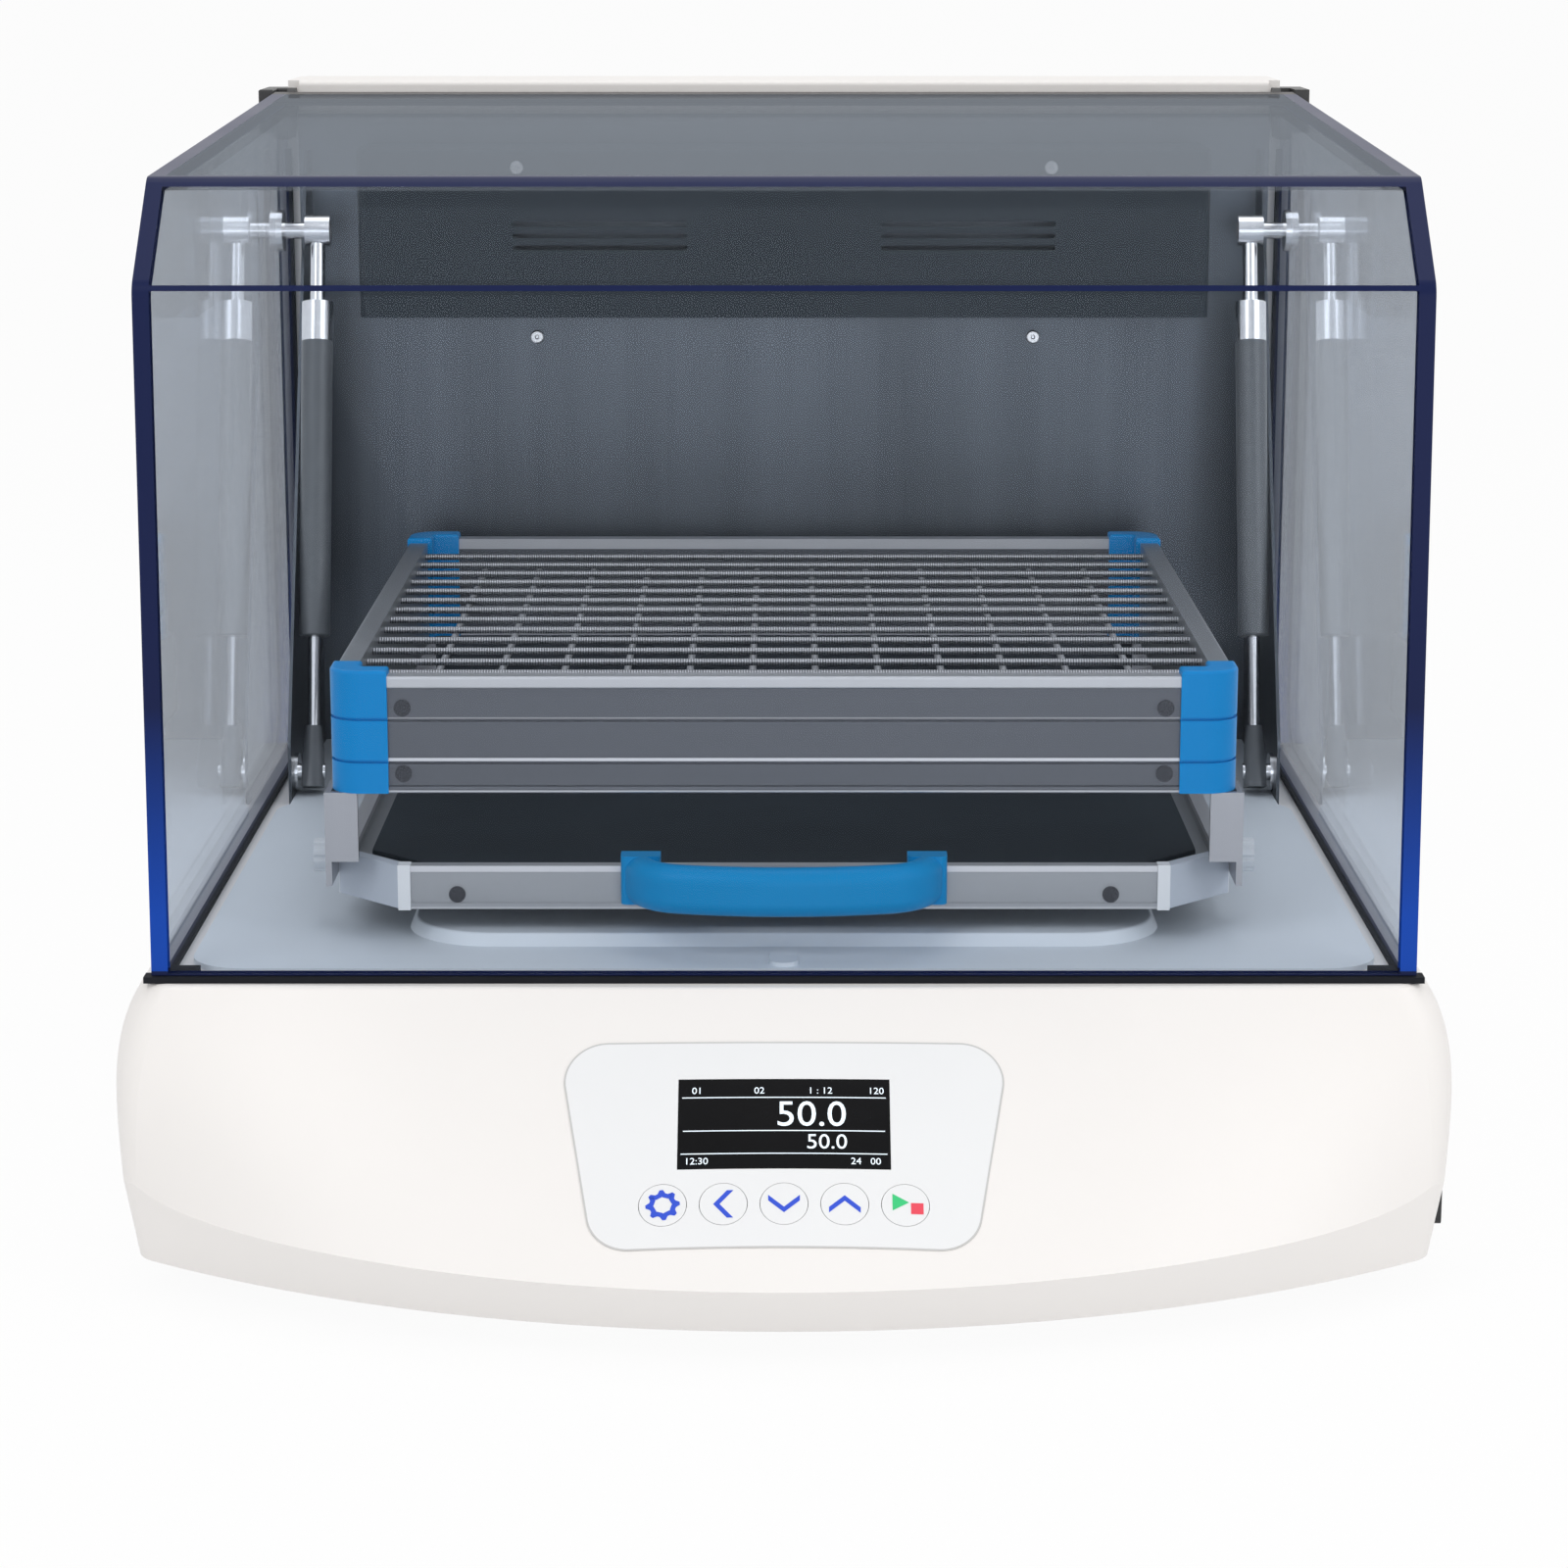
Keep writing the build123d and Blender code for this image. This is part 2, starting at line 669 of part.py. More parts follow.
with BuildPart() as duct_cover:
    with BuildSketch(facing(duct_front)):
        with Locations((0, above((duct_bottom + duct_top) / 2))):
            Rectangle(2 * duct_half_width, duct_top - duct_bottom)
    extrude(amount=liner_depth - duct_front)
    fillet(duct_cover.edges().filter_by(Axis.Z).group_by(Axis.Y)[0], duct_radius)
    offset(amount=-duct_sheet, openings=duct_cover.faces().sort_by(Axis.Y)[-1])
    with BuildSketch(facing(duct_front)):
        for vent in range(vent_count):
            with Locations((-vent_offset, above(vent_top - vent * vent_pitch)),
                           (vent_offset, above(vent_top - vent * vent_pitch))):
                SlotOverall(vent_length, vent_width)
    extrude(amount=2 * duct_radius, mode=Mode.SUBTRACT)
    with BuildSketch(level(duct_bottom - duct_sheet)):
        with Locations((0, span(duct_front, liner_depth))):
            SlotOverall(2 * duct_half_width - 4 * duct_radius, duct_outlet_width)
    extrude(amount=3 * duct_sheet, mode=Mode.SUBTRACT)
finish(duct_cover, "duct_cover")

# Fan wheel with curved blades, on a shaft that runs back into its motor
fan_centre = (0, above(fan_height))
fan_back = liner_depth - fan_back_gap
with BuildPart() as fan_wheel:
    with BuildSketch(facing(fan_back - fan_plate)):
        with Locations(fan_centre):
            Circle(fan_radius)
    extrude(amount=fan_plate)
    with BuildSketch(facing(fan_back - fan_depth)):
        with Locations(fan_centre):
            Circle(fan_hub_radius)
    extrude(amount=fan_depth)
    with BuildSketch(facing(fan_back - fan_depth)):
        with Locations(fan_centre):
            with PolarLocations(fan_radius * 0.68, fan_blade_count):
                Rectangle(fan_radius * 0.6, fan_plate, rotation=fan_blade_angle)
    extrude(amount=fan_depth)
    with BuildSketch(facing(fan_back)):
        with Locations(fan_centre):
            Circle(fan_shaft_radius)
    extrude(amount=housing_front + housing_wall + fan_motor_length - fan_back - 4)
finish(fan_wheel, "fan_wheel")

with BuildPart() as fan_motor:
    with BuildSketch(facing(housing_front + housing_wall)):
        with Locations(fan_centre):
            Circle(fan_motor_radius + 6)
    extrude(amount=fan_plate)
    with BuildSketch(facing(housing_front + housing_wall)):
        with Locations(fan_centre):
            Circle(fan_motor_radius)
    extrude(amount=fan_motor_length)
    with BuildSketch(facing(housing_front + housing_wall)):
        with Locations(fan_centre):
            Circle(fan_shaft_radius + bearing_gap)
    extrude(amount=fan_motor_length - 2, mode=Mode.SUBTRACT)
finish(fan_motor, "fan_motor")

with BuildPart() as heater_element:
    for side in (-1, 1):
        with BuildLine(level(heater_height)) as heater_path:
            FilletPolyline((side * heater_inner, back(liner_depth)),
                           (side * heater_inner, back(liner_depth - heater_depth)),
                           (side * heater_outer, back(liner_depth - heater_depth)),
                           (side * heater_outer, back(liner_depth)), radius=heater_bend)
        with BuildSketch(Plane(origin=heater_path.line @ 0, z_dir=heater_path.line % 0)):
            Circle(heater_rod_radius)
        sweep(path=heater_path.line)
finish(heater_element, "heater_element")

with BuildPart() as temperature_probe:
    with BuildSketch(facing(liner_depth)):
        with Locations((probe_offset, above(probe_height))):
            Circle(probe_radius)
    extrude(amount=-probe_length)
    with BuildSketch(facing(liner_depth)):
        with Locations((probe_offset, above(probe_height))):
            Circle(2 * probe_radius)
    extrude(amount=-3 * probe_radius)
finish(temperature_probe, "temperature_probe")

# Rear housing: a shell open at the back, stepped so that the turning hood edge clears it
notch_back = hinge_depth + hinge_ear_radius + 2
with BuildPart() as rear_housing:
    with BuildSketch(level(0)):
        with Locations((0, span(housing_front, base_reach - cover_thickness))):
            Rectangle(2 * housing_lower_half_width, base_reach - cover_thickness - housing_front)
    extrude(amount=housing_shoulder)
    with BuildSketch(level(housing_shoulder)):
        with Locations((0, span(housing_step, base_reach - cover_thickness))):
            Rectangle(2 * housing_half_width, base_reach - cover_thickness - housing_step)
    extrude(amount=housing_top - housing_shoulder)
    fillet(rear_housing.faces().sort_by(Axis.Z)[-1].edges().group_by(Axis.Y)[0], housing_radius / 3)
    for side in (-1, 1):
        with BuildSketch(level(housing_shoulder)):
            with Locations((side * (notch_inner + housing_lower_half_width) / 2,
                            span(housing_front, notch_back))):
                Rectangle(housing_lower_half_width - notch_inner, notch_back - housing_front)
        extrude(amount=housing_top, mode=Mode.SUBTRACT)
    with BuildSketch(level(housing_wall)):
        with Locations((0, span(housing_front + housing_wall, base_reach))):
            Rectangle(2 * (housing_lower_half_width - housing_wall),
                      base_reach - housing_front - housing_wall)
    extrude(amount=housing_shoulder - 2 * housing_wall, mode=Mode.SUBTRACT)
    with BuildSketch(level(housing_shoulder - 2 * housing_wall)):
        with Locations((0, span(housing_step + housing_wall, base_reach))):
            Rectangle(2 * (notch_inner - housing_wall), base_reach - housing_step - housing_wall)
    extrude(amount=housing_top - housing_shoulder + housing_wall, mode=Mode.SUBTRACT)
    with BuildSketch(facing(housing_front)):
        with Locations(fan_centre):
            Circle(fan_shaft_radius + shaft_relief)
    extrude(amount=2 * housing_wall, mode=Mode.SUBTRACT)
finish(rear_housing, "rear_housing")

with BuildPart() as rear_cover:
    with BuildSketch(facing(base_reach - cover_thickness)):
        with Locations((0, above(housing_shoulder / 2))):
            RectangleRounded(2 * housing_lower_half_width, housing_shoulder, 3)
        with Locations((0, above((housing_shoulder / 2 + housing_top) / 2))):
            RectangleRounded(2 * housing_half_width, housing_top - housing_shoulder / 2, 3)
        with Locations((0, above(housing_shoulder * 0.7)), (0, above(housing_shoulder * 0.2))):
            with GridLocations(louvre_length + 30, louvre_pitch, 3, louvre_count):
                SlotOverall(louvre_length, louvre_width, mode=Mode.SUBTRACT)
    extrude(amount=cover_thickness)
finish(rear_cover, "rear_cover")

with BuildPart() as hinge_blocks:
    for side in (-1, 1):
        with BuildSketch(level(housing_shoulder)):
            with Locations((side * (cheek_face + hinge_block_half_width) / 2,
                            span(hinge_depth - 9, hinge_depth - 9 + hinge_block_depth))):
                Rectangle(hinge_block_half_width - cheek_face, hinge_block_depth)
            with Locations((side * (housing_half_width + hinge_block_half_width) / 2,
                            span(notch_back, hinge_depth - 9 + hinge_block_depth))):
                Rectangle(hinge_block_half_width - housing_half_width,
                          hinge_depth - 9 + hinge_block_depth - notch_back)
        extrude(amount=hinge_block_height)
    fillet(hinge_blocks.faces().sort_by(Axis.Z)[-1].edges(), 1)
    with BuildSketch(across(0)):
        with Locations((back(hinge_depth), above(hinge_height))):
            Circle(hinge_pin_radius)
    extrude(amount=hinge_block_half_width - 2, both=True, mode=Mode.SUBTRACT)
finish(hinge_blocks, "hinge_blocks")

with BuildPart() as hinge_pins:
    for start in (notch_inner + seat_gap, -hinge_block_half_width + 2):
        with BuildSketch(across(start)):
            with Locations((back(hinge_depth), above(hinge_height))):
                Circle(hinge_pin_radius)
        extrude(amount=hinge_block_half_width - 2 - notch_inner - seat_gap)
finish(hinge_pins, "hinge_pins")

# Hood: one bent sheet in front and on top, with a flat panel let in on each side
hood_corners = [(back(0), above(hood_floor)),
                (back(hood_front_lean), above(hood_floor + hood_front_height)),
                (back(hood_front_lean + hood_slant_run),
                 above(hood_floor + hood_front_height + hood_slant_rise)),
                (back(hood_reach),
                 above(hood_floor + hood_front_height + hood_slant_rise + hood_top_rise))]

with BuildSketch(across(0)) as hood_section:
    with BuildLine(mode=Mode.PRIVATE) as hood_line:
        FilletPolyline(*hood_corners, radius=hood_bend_radius)
    make_face(hood_line.wire().offset_2d(sheet, side=Side.RIGHT, closed=True).edges())

with BuildPart() as hood_cover:
    add(hood_section.sketch)
    extrude(amount=hood_half_width, dir=(1, 0, 0), both=True)
finish(hood_cover, "hood_cover")

with BuildPart() as hood_sides:
    for start in (hood_half_width - sheet, -hood_half_width):
        with BuildSketch(across(start)):
            with BuildLine():
                rim = FilletPolyline(*hood_corners, radius=hood_bend_radius)
                Polyline(rim @ 1, (back(hood_reach), above(hood_floor)), rim @ 0)
            make_face()
            fillet(vertices().group_by(Axis.Y)[0].sort_by(Axis.X)[-1], hood_rear_corner_radius)
        extrude(amount=sheet)
    add(hood_cover.part, mode=Mode.SUBTRACT)
finish(hood_sides, "hood_sides")

plate_top = hood_floor + hood_front_height + hood_slant_rise + hood_top_rise - sheet - 1.8
plate_inner = hood_half_width - sheet - hinge_plate_thickness
with BuildPart() as hood_hinge_plates:
    for start in (plate_inner, -plate_inner - hinge_plate_thickness):
        with BuildSketch(across(start)):
            with Locations((span(housing_front - 1.5 - hinge_plate_length, housing_front - 1.5),
                            above(plate_top - hinge_plate_height / 2))):
                RectangleRounded(hinge_plate_length, hinge_plate_height, 3)
            with Locations((span(hinge_depth - 10, hinge_depth),
                            above(plate_top - hinge_neck_height / 2))):
                Rectangle(10, hinge_neck_height)
            with Locations((back(hinge_depth), above(hinge_height))):
                Circle(hinge_ear_radius)
                Circle(hinge_pin_radius + bearing_gap, mode=Mode.SUBTRACT)
        extrude(amount=hinge_plate_thickness)
finish(hood_hinge_plates, "hood_hinge_plates")

eye_face = strut_plane + strut_eye_half_width
with BuildPart() as hood_strut_studs:
    for side in (-1, 1):
        with BuildSketch(across(side * (hood_half_width - sheet))):
            with Locations((back(strut_top_depth), above(strut_top_height))):
                Circle(hood_stud_flange_radius)
        extrude(amount=-side * hood_stud_flange)
        with BuildSketch(across(side * (hood_half_width - sheet - hood_stud_flange))):
            with Locations((back(strut_top_depth), above(strut_top_height))):
                Circle(stud_radius)
        extrude(amount=-side * (hood_half_width - sheet - hood_stud_flange - eye_face - seat_gap))
finish(hood_strut_studs, "hood_strut_studs")

with BuildPart() as strut_base_studs:
    for side in (-1, 1):
        with BuildSketch(across(side * flange_face)):
            with Locations((back(strut_base_depth), above(strut_base_height))):
                Circle(stud_flange_radius)
        extrude(amount=-side * stud_flange)
        with BuildSketch(across(side * (flange_face - stud_flange))):
            with Locations((back(strut_base_depth), above(strut_base_height))):
                Circle(stud_radius)
        extrude(amount=-side * (flange_face - stud_flange - strut_plane + strut_socket_half + 1))
finish(strut_base_studs, "strut_base_studs")

# Gas struts, each laid out along the line between its studs with the hood shut
strut_lean = atan2(strut_top_depth - strut_base_depth, strut_top_height - strut_base_height)
strut_length = hypot(strut_top_depth - strut_base_depth, strut_top_height - strut_base_height)
strut_cap_end = strut_length - strut_neck_length
strut_tube_end = strut_cap_end - strut_cap_length
strut_rod_end = strut_tube_end - strut_piston_room
for side_name, side in (("left", -1), ("right", 1)):
    foot = Plane(origin=(side * strut_plane, back(strut_base_depth), above(strut_base_height)),
                 x_dir=(1, 0, 0), z_dir=(0, sin(strut_lean), cos(strut_lean)))
    with BuildPart() as strut_rod:
        with BuildSketch(foot.offset(-strut_socket_radius)):
            Circle(strut_socket_radius)
        with BuildSketch(foot.offset(strut_socket_length)):
            Circle(strut_socket_radius / 2)
        loft()
        with BuildSketch(foot.offset(-strut_socket_radius)):
            Rectangle(2 * strut_socket_half, 2 * strut_socket_radius)
        extrude(amount=strut_socket_length + strut_socket_radius, mode=Mode.INTERSECT)
        with BuildSketch(foot.offset(strut_socket_length)):
            Circle(strut_rod_radius)
        extrude(amount=strut_rod_end - strut_socket_length)
        with BuildSketch(foot.offset(strut_rod_end)):
            Circle(strut_piston_radius)
        extrude(amount=-strut_guide_length)
        with BuildSketch(across(side * strut_plane)):
            with Locations((back(strut_base_depth), above(strut_base_height))):
                Circle(stud_radius + bearing_gap)
        extrude(amount=2 * strut_socket_half, both=True, mode=Mode.SUBTRACT)
    finish(strut_rod, f"strut_rod_{side_name}")

    with BuildPart() as strut_cylinder:
        with BuildSketch(foot.offset(strut_tube_start)):
            Circle(strut_tube_radius)
        extrude(amount=strut_tube_end - strut_tube_start)
        fillet(strut_cylinder.edges().group_by(Axis.Z)[0], 1)
        with BuildSketch(foot.offset(strut_tube_start)):
            Circle(strut_rod_radius + bearing_gap)
        extrude(amount=2 * strut_guide_length, mode=Mode.SUBTRACT)
        with BuildSketch(foot.offset(strut_tube_start + strut_guide_length)):
            Circle(strut_tube_bore)
        extrude(amount=strut_tube_end - strut_tube_start - 2 * strut_guide_length, mode=Mode.SUBTRACT)
        with BuildSketch(foot.offset(strut_tube_end)):
            Circle(strut_tube_radius)
        extrude(amount=strut_cap_end - strut_tube_end)
        with BuildSketch(foot.offset(strut_cap_end)):
            Circle(strut_neck_radius)
        extrude(amount=strut_length - strut_cap_end)
        with BuildSketch(across(side * strut_plane)):
            with Locations((back(strut_top_depth), above(strut_top_height))):
                Circle(strut_eye_radius)
        extrude(amount=strut_eye_half_width, both=True)
        with BuildSketch(across(side * strut_plane)):
            with Locations((back(strut_top_depth), above(strut_top_height))):
                Circle(stud_radius)
        extrude(amount=strut_eye_half_width, both=True, mode=Mode.SUBTRACT)
    finish(strut_cylinder, f"strut_cylinder_{side_name}")

# Orbit drive: heights of the crank discs, the carrier and its bearings above the deck
disc_bottom = floor_sheet + plateau_rise + crank_gap
disc_top = disc_bottom + crank_disc_height
carrier_bottom = disc_top + crank_gap
tray_plate_top = tray_bottom + tray_rail_height - tray_plate_drop
tray_plate_bottom = tray_plate_top - tray_sheet
pin_top = tray_plate_bottom - crank_gap
pulley_top = -bearing_barrel_length - pulley_gap


def crank(place, shaft_radius, disc_radius, pin_radius, shaft_bottom):
    """A shaft with a disc on top and a crank pin that stands forward of the shaft."""
    with BuildPart(mode=Mode.PRIVATE) as piece:
        for bottom, top, radius, forward in ((shaft_bottom, disc_bottom, shaft_radius, 0),
                                             (disc_bottom, disc_top, disc_radius, 0),
                                             (disc_top, pin_top, pin_radius, orbit_radius)):
            with BuildSketch(level(bottom)):
                with Locations((place[0], place[1] - forward)):
                    Circle(radius)
            extrude(amount=top - bottom)
    return piece.part


with BuildPart() as drive_spindle:
    add(crank(spindle_place, spindle_radius, spindle_disc_radius, spindle_pin_radius,
              pulley_top - pulley_width - 2))
finish(drive_spindle, "drive_spindle")

for side_name, idler_place in zip(("left", "right"), idler_places):
    with BuildPart() as idler_crank:
        add(crank(idler_place, idler_radius, idler_disc_radius, idler_pin_radius,
                  -bearing_barrel_length))
    finish(idler_crank, f"idler_crank_{side_name}")

with BuildPart() as bearing_housings:
    for place, bore in [(spindle_place, spindle_radius)] + [(p, idler_radius) for p in idler_places]:
        with BuildSketch(level(0)):
            with Locations(place):
                Circle(bore + housing_flange_width)
        extrude(amount=-housing_flange_height)
        with BuildSketch(level(0)):
            with Locations(place):
                Circle(bore + bearing_barrel_wall)
        extrude(amount=-bearing_barrel_length)
        with BuildSketch(level(0)):
            with Locations(place):
                Circle(bore + bearing_gap)
        extrude(amount=-bearing_barrel_length, mode=Mode.SUBTRACT)
finish(bearing_housings, "bearing_housings")

# Driven pulley: a rim on a web, with the counterweight filling its rear half
with BuildPart() as driven_pulley:
    with BuildSketch(level(pulley_top)):
        with Locations(spindle_place):
            Circle(driven_pulley_radius)
            Circle(driven_pulley_radius - pulley_rim, mode=Mode.SUBTRACT)
            Circle(spindle_radius + pulley_rim)
    extrude(amount=-pulley_width)
    with BuildSketch(level(pulley_top - (pulley_width - pulley_web) / 2)):
        with Locations(spindle_place):
            Circle(driven_pulley_radius)
            with PolarLocations((driven_pulley_radius + spindle_radius) / 2, 3, start_angle=210,
                                angular_range=120, endpoint=True):
                Circle(pulley_rim, mode=Mode.SUBTRACT)
    extrude(amount=-pulley_web)
    with BuildSketch(level(pulley_top)):
        with Locations(spindle_place):
            Circle(driven_pulley_radius)
        with Locations((spindle_place[0], spindle_place[1] - driven_pulley_radius)):
            Rectangle(2 * driven_pulley_radius, 2 * driven_pulley_radius, mode=Mode.SUBTRACT)
    extrude(amount=-pulley_width)
    with BuildSketch(level(pulley_top)):
        with Locations(spindle_place):
            Circle(spindle_radius)
    extrude(amount=-pulley_width, mode=Mode.SUBTRACT)
finish(driven_pulley, "driven_pulley")

with BuildPart() as motor_pulley:
    with BuildSketch(level(pulley_top - pulley_width)):
        with Locations(motor_place):
            Circle(motor_pulley_radius)
    extrude(amount=pulley_width)
    with BuildSketch(level(pulley_top)):
        with Locations(motor_place):
            Circle(motor_shaft_radius)
    extrude(amount=-pulley_top - pulley_width)
finish(motor_pulley, "motor_pulley")

with BuildPart() as drive_motor:
    with BuildSketch(level(0)):
        with Locations(motor_place):
            Circle(motor_radius + 6)
    extrude(amount=-motor_flange)
    with BuildSketch(level(0)):
        with Locations(motor_place):
            Circle(motor_radius)
    extrude(amount=-motor_length)
    with BuildSketch(level(-pulley_width + 1)):
        with Locations(motor_place):
            Circle(motor_shaft_radius + bearing_gap)
    extrude(amount=-motor_length, mode=Mode.SUBTRACT)
finish(drive_motor, "drive_motor")

with BuildPart() as drive_belt:
    with BuildSketch(level(pulley_top - pulley_width / 2)):
        for extra, how in ((seat_gap + belt_thickness, Mode.ADD), (seat_gap, Mode.SUBTRACT)):
            with BuildSketch(mode=how):
                with Locations(spindle_place):
                    Circle(driven_pulley_radius + extra)
                with Locations(motor_place):
                    Circle(motor_pulley_radius + extra)
                make_hull()
    extrude(amount=belt_width / 2, both=True)
finish(drive_belt, "drive_belt")

# Platform: carrier, tray and clamp frame, all placed about its centre
platform_centre = (0.0, back(platform_front + platform_depth / 2))
platform_size = Vector(platform_width, platform_depth)
pin_places = [((place[0], place[1] - orbit_radius), pin)
              for place, pin in [(spindle_place, spindle_pin_radius)]
              + [(place, idler_pin_radius) for place in idler_places]]


def chamfered(width, depth, corner):
    """A rectangle about the platform's centre with its corners cut at 45 degrees."""
    with BuildSketch(mode=Mode.PRIVATE) as plan:
        with Locations(platform_centre):
            Rectangle(width, depth)
        chamfer(plan.vertices(), corner)
    return plan.sketch


def side_planes(inset, height):
    """For each side of the platform, a plane on it that looks outward along its own x."""
    middle = Vector(platform_centre[0], platform_centre[1], above(height))
    for outward, reach, length in ((Vector(0, -1), platform_depth, platform_width),
                                   (Vector(0, 1), platform_depth, platform_width),
                                   (Vector(1, 0), platform_width, platform_depth),
                                   (Vector(-1, 0), platform_width, platform_depth)):
        origin = middle + outward * (reach / 2 - inset)
        yield Plane(origin=origin, x_dir=outward, z_dir=outward.cross(Vector(0, 0, 1))), length


with BuildPart() as carrier_plate:
    with BuildSketch(level(carrier_bottom)):
        with Locations(platform_centre):
            RectangleRounded(2 * carrier_half_width, 2 * carrier_half_depth, carrier_radius)
    extrude(amount=tray_plate_bottom - carrier_bottom)
    with BuildSketch(level(carrier_bottom + carrier_sheet)):
        with Locations(platform_centre):
            RectangleRounded(2 * (carrier_half_width - carrier_sheet),
                             2 * (carrier_half_depth - carrier_sheet), carrier_radius - carrier_sheet)
        for place, pin in pin_places:
            with Locations(place):
                Circle(pin + bearing_ring + carrier_sheet, mode=Mode.SUBTRACT)
    extrude(amount=tray_plate_bottom - carrier_bottom, mode=Mode.SUBTRACT)
    with BuildSketch(level(carrier_bottom)):
        for place, pin in pin_places:
            with Locations(place):
                Circle(pin + bearing_ring)
    extrude(amount=tray_plate_bottom - carrier_bottom, mode=Mode.SUBTRACT)
finish(carrier_plate, "carrier_plate")

with BuildPart() as carrier_bearings:
    with BuildSketch(level(carrier_bottom)):
        for place, pin in pin_places:
            with Locations(place):
                Circle(pin + bearing_ring)
        for place, pin in pin_places:
            with Locations(place):
                Circle(pin + bearing_gap, mode=Mode.SUBTRACT)
    extrude(amount=bearing_ring_height)
finish(carrier_bearings, "carrier_bearings")

rail_inner_width = platform_width - 2 * tray_rail_thickness
rail_inner_depth = platform_depth - 2 * tray_rail_thickness
inner_corner = tray_corner - tray_rail_thickness * 0.586
with BuildPart() as lower_tray:
    with BuildSketch(level(tray_plate_bottom)):
        add(chamfered(rail_inner_width, rail_inner_depth, inner_corner))
    extrude(amount=tray_sheet)
finish(lower_tray, "lower_tray")

with BuildPart() as tray_mat:
    with BuildSketch(level(tray_plate_top)):
        add(chamfered(rail_inner_width - mat_margin, rail_inner_depth - mat_margin, mat_chamfer))
    extrude(amount=mat_thickness)
finish(tray_mat, "tray_mat")

# Tray rails: flat bars with a bead along the top and bottom edge, drilled for the side knobs
with BuildPart() as tray_rails:
    for plane, length in side_planes(0, tray_bottom):
        with BuildSketch(plane):
            with Locations((-tray_rail_thickness / 2, tray_rail_height / 2)):
                Rectangle(tray_rail_thickness, tray_rail_height)
            with Locations((0, tray_rail_height / 2)):
                Rectangle(2 * rail_relief, tray_rail_height - 2 * rail_bead, mode=Mode.SUBTRACT)
        extrude(amount=length / 2 - tray_corner - tray_cap, both=True)
    with BuildSketch(across(0)):
        with Locations((platform_centre[1] - platform_depth / 2 + knob_depth, above(knob_height))):
            Circle(knob_stem_radius + slip_gap)
    extrude(amount=platform_width, both=True, mode=Mode.SUBTRACT)
finish(tray_rails, "tray_rails")

# Corner blocks of the tray: the chamfered corners of a ring, and an end cap beside each rail
with BuildPart() as tray_corners:
    with BuildSketch(level(tray_bottom)):
        add(chamfered(platform_width, platform_depth, tray_corner))
        add(chamfered(rail_inner_width, rail_inner_depth, inner_corner), mode=Mode.SUBTRACT)
        with Locations(platform_centre):
            Rectangle(platform_width - 2 * tray_corner, 2 * platform_depth, mode=Mode.SUBTRACT)
            Rectangle(2 * platform_width, platform_depth - 2 * tray_corner, mode=Mode.SUBTRACT)
    extrude(amount=tray_rail_height)
    fillet(tray_corners.faces().filter_by(Axis.Z).edges().filter_by(Plane.XY), 0.6)
    tray_sides = list(side_planes(0, tray_bottom))
    for (plane, length), lip in zip(tray_sides, (tray_cap_lip, tray_cap_lip, 0, 0)):
        for end in (-1, 1):
            with BuildSketch(plane.offset(end * (length / 2 - tray_corner))):
                with Locations(((lip - tray_rail_thickness) / 2, tray_rail_height / 2)):
                    Rectangle(tray_rail_thickness + lip, tray_rail_height + lip)
            extrude(amount=-end * tray_cap)
finish(tray_corners, "tray_corners")

# Handle: a full rounded grip swept along a bow, with a foot at each end
handle_face = back(platform_front)
grip_front = handle_face - handle_reach
with BuildPart() as tray_handle:
    with BuildLine(level(handle_middle)) as handle_bow:
        grip = ThreePointArc((-handle_bow_half, grip_front), (0, grip_front - handle_bulge),
                             (handle_bow_half, grip_front))
        TangentArc(grip @ 1, (handle_half_span, handle_face), tangent=grip % 1)
        TangentArc(grip @ 0, (-handle_half_span, handle_face), tangent=-(grip % 0))
    with BuildSketch(Plane(origin=grip @ 0, z_dir=grip % 0, x_dir=(0, 0, 1))):
        RectangleRounded(handle_height, handle_thickness, handle_thickness * 0.49)
    sweep(path=handle_bow.wire())
    with BuildSketch(Plane.XY.offset(above(handle_middle - handle_height / 2))):
        with Locations((handle_half_span, handle_face), (-handle_half_span, handle_face)):
            RectangleRounded(2 * handle_foot_radius, 2 * handle_foot_length, 3)
        with Locations((0, handle_face + platform_depth)):
            Rectangle(platform_width, 2 * platform_depth, mode=Mode.SUBTRACT)
    extrude(amount=handle_height)
    with BuildSketch(Plane.XY):
        with Locations((0, handle_face + platform_depth)):
            Rectangle(platform_width, 2 * platform_depth)
    extrude(amount=deck * 2, mode=Mode.SUBTRACT)
finish(tray_handle, "tray_handle")

# Clamp frame: grooved rails between moulded corners, and two crossing layers of wires
rail_setback = 0.8


def clamp_profile(plane):
    """Section of a clamp rail: a bar with a bead at each edge and two grooves on its face."""
    with BuildSketch(plane, mode=Mode.PRIVATE) as section:
        with Locations((-clamp_rail_thickness / 2, clamp_rail_height / 2)):
            Rectangle(clamp_rail_thickness, clamp_rail_height)
        with Locations((0, (clamp_rail_height - clamp_top_bead_height + clamp_bottom_bead_height) / 2)):
            Rectangle(2 * clamp_bead,
                      clamp_rail_height - clamp_top_bead_height - clamp_bottom_bead_height,
                      mode=Mode.SUBTRACT)
        with Locations((-clamp_bead, clamp_upper_groove), (-clamp_bead, clamp_lower_groove)):
            Rectangle(2 * clamp_groove, clamp_groove, mode=Mode.SUBTRACT)
        fillet(section.vertices().group_by(Axis.X)[-1].group_by(Axis.Z)[-1], 1)
    return section.sketch


rails = list(side_planes(rail_setback, clamp_bottom))
for rail_name, pair in (("clamp_rails_cross", rails[:2]), ("clamp_rails_side", rails[2:])):
    with BuildPart() as clamp_rails:
        for plane, length in pair:
            add(clamp_profile(plane))
            extrude(amount=length / 2 - clamp_corner, dir=plane.z_dir, both=True)
    finish(clamp_rails, rail_name)

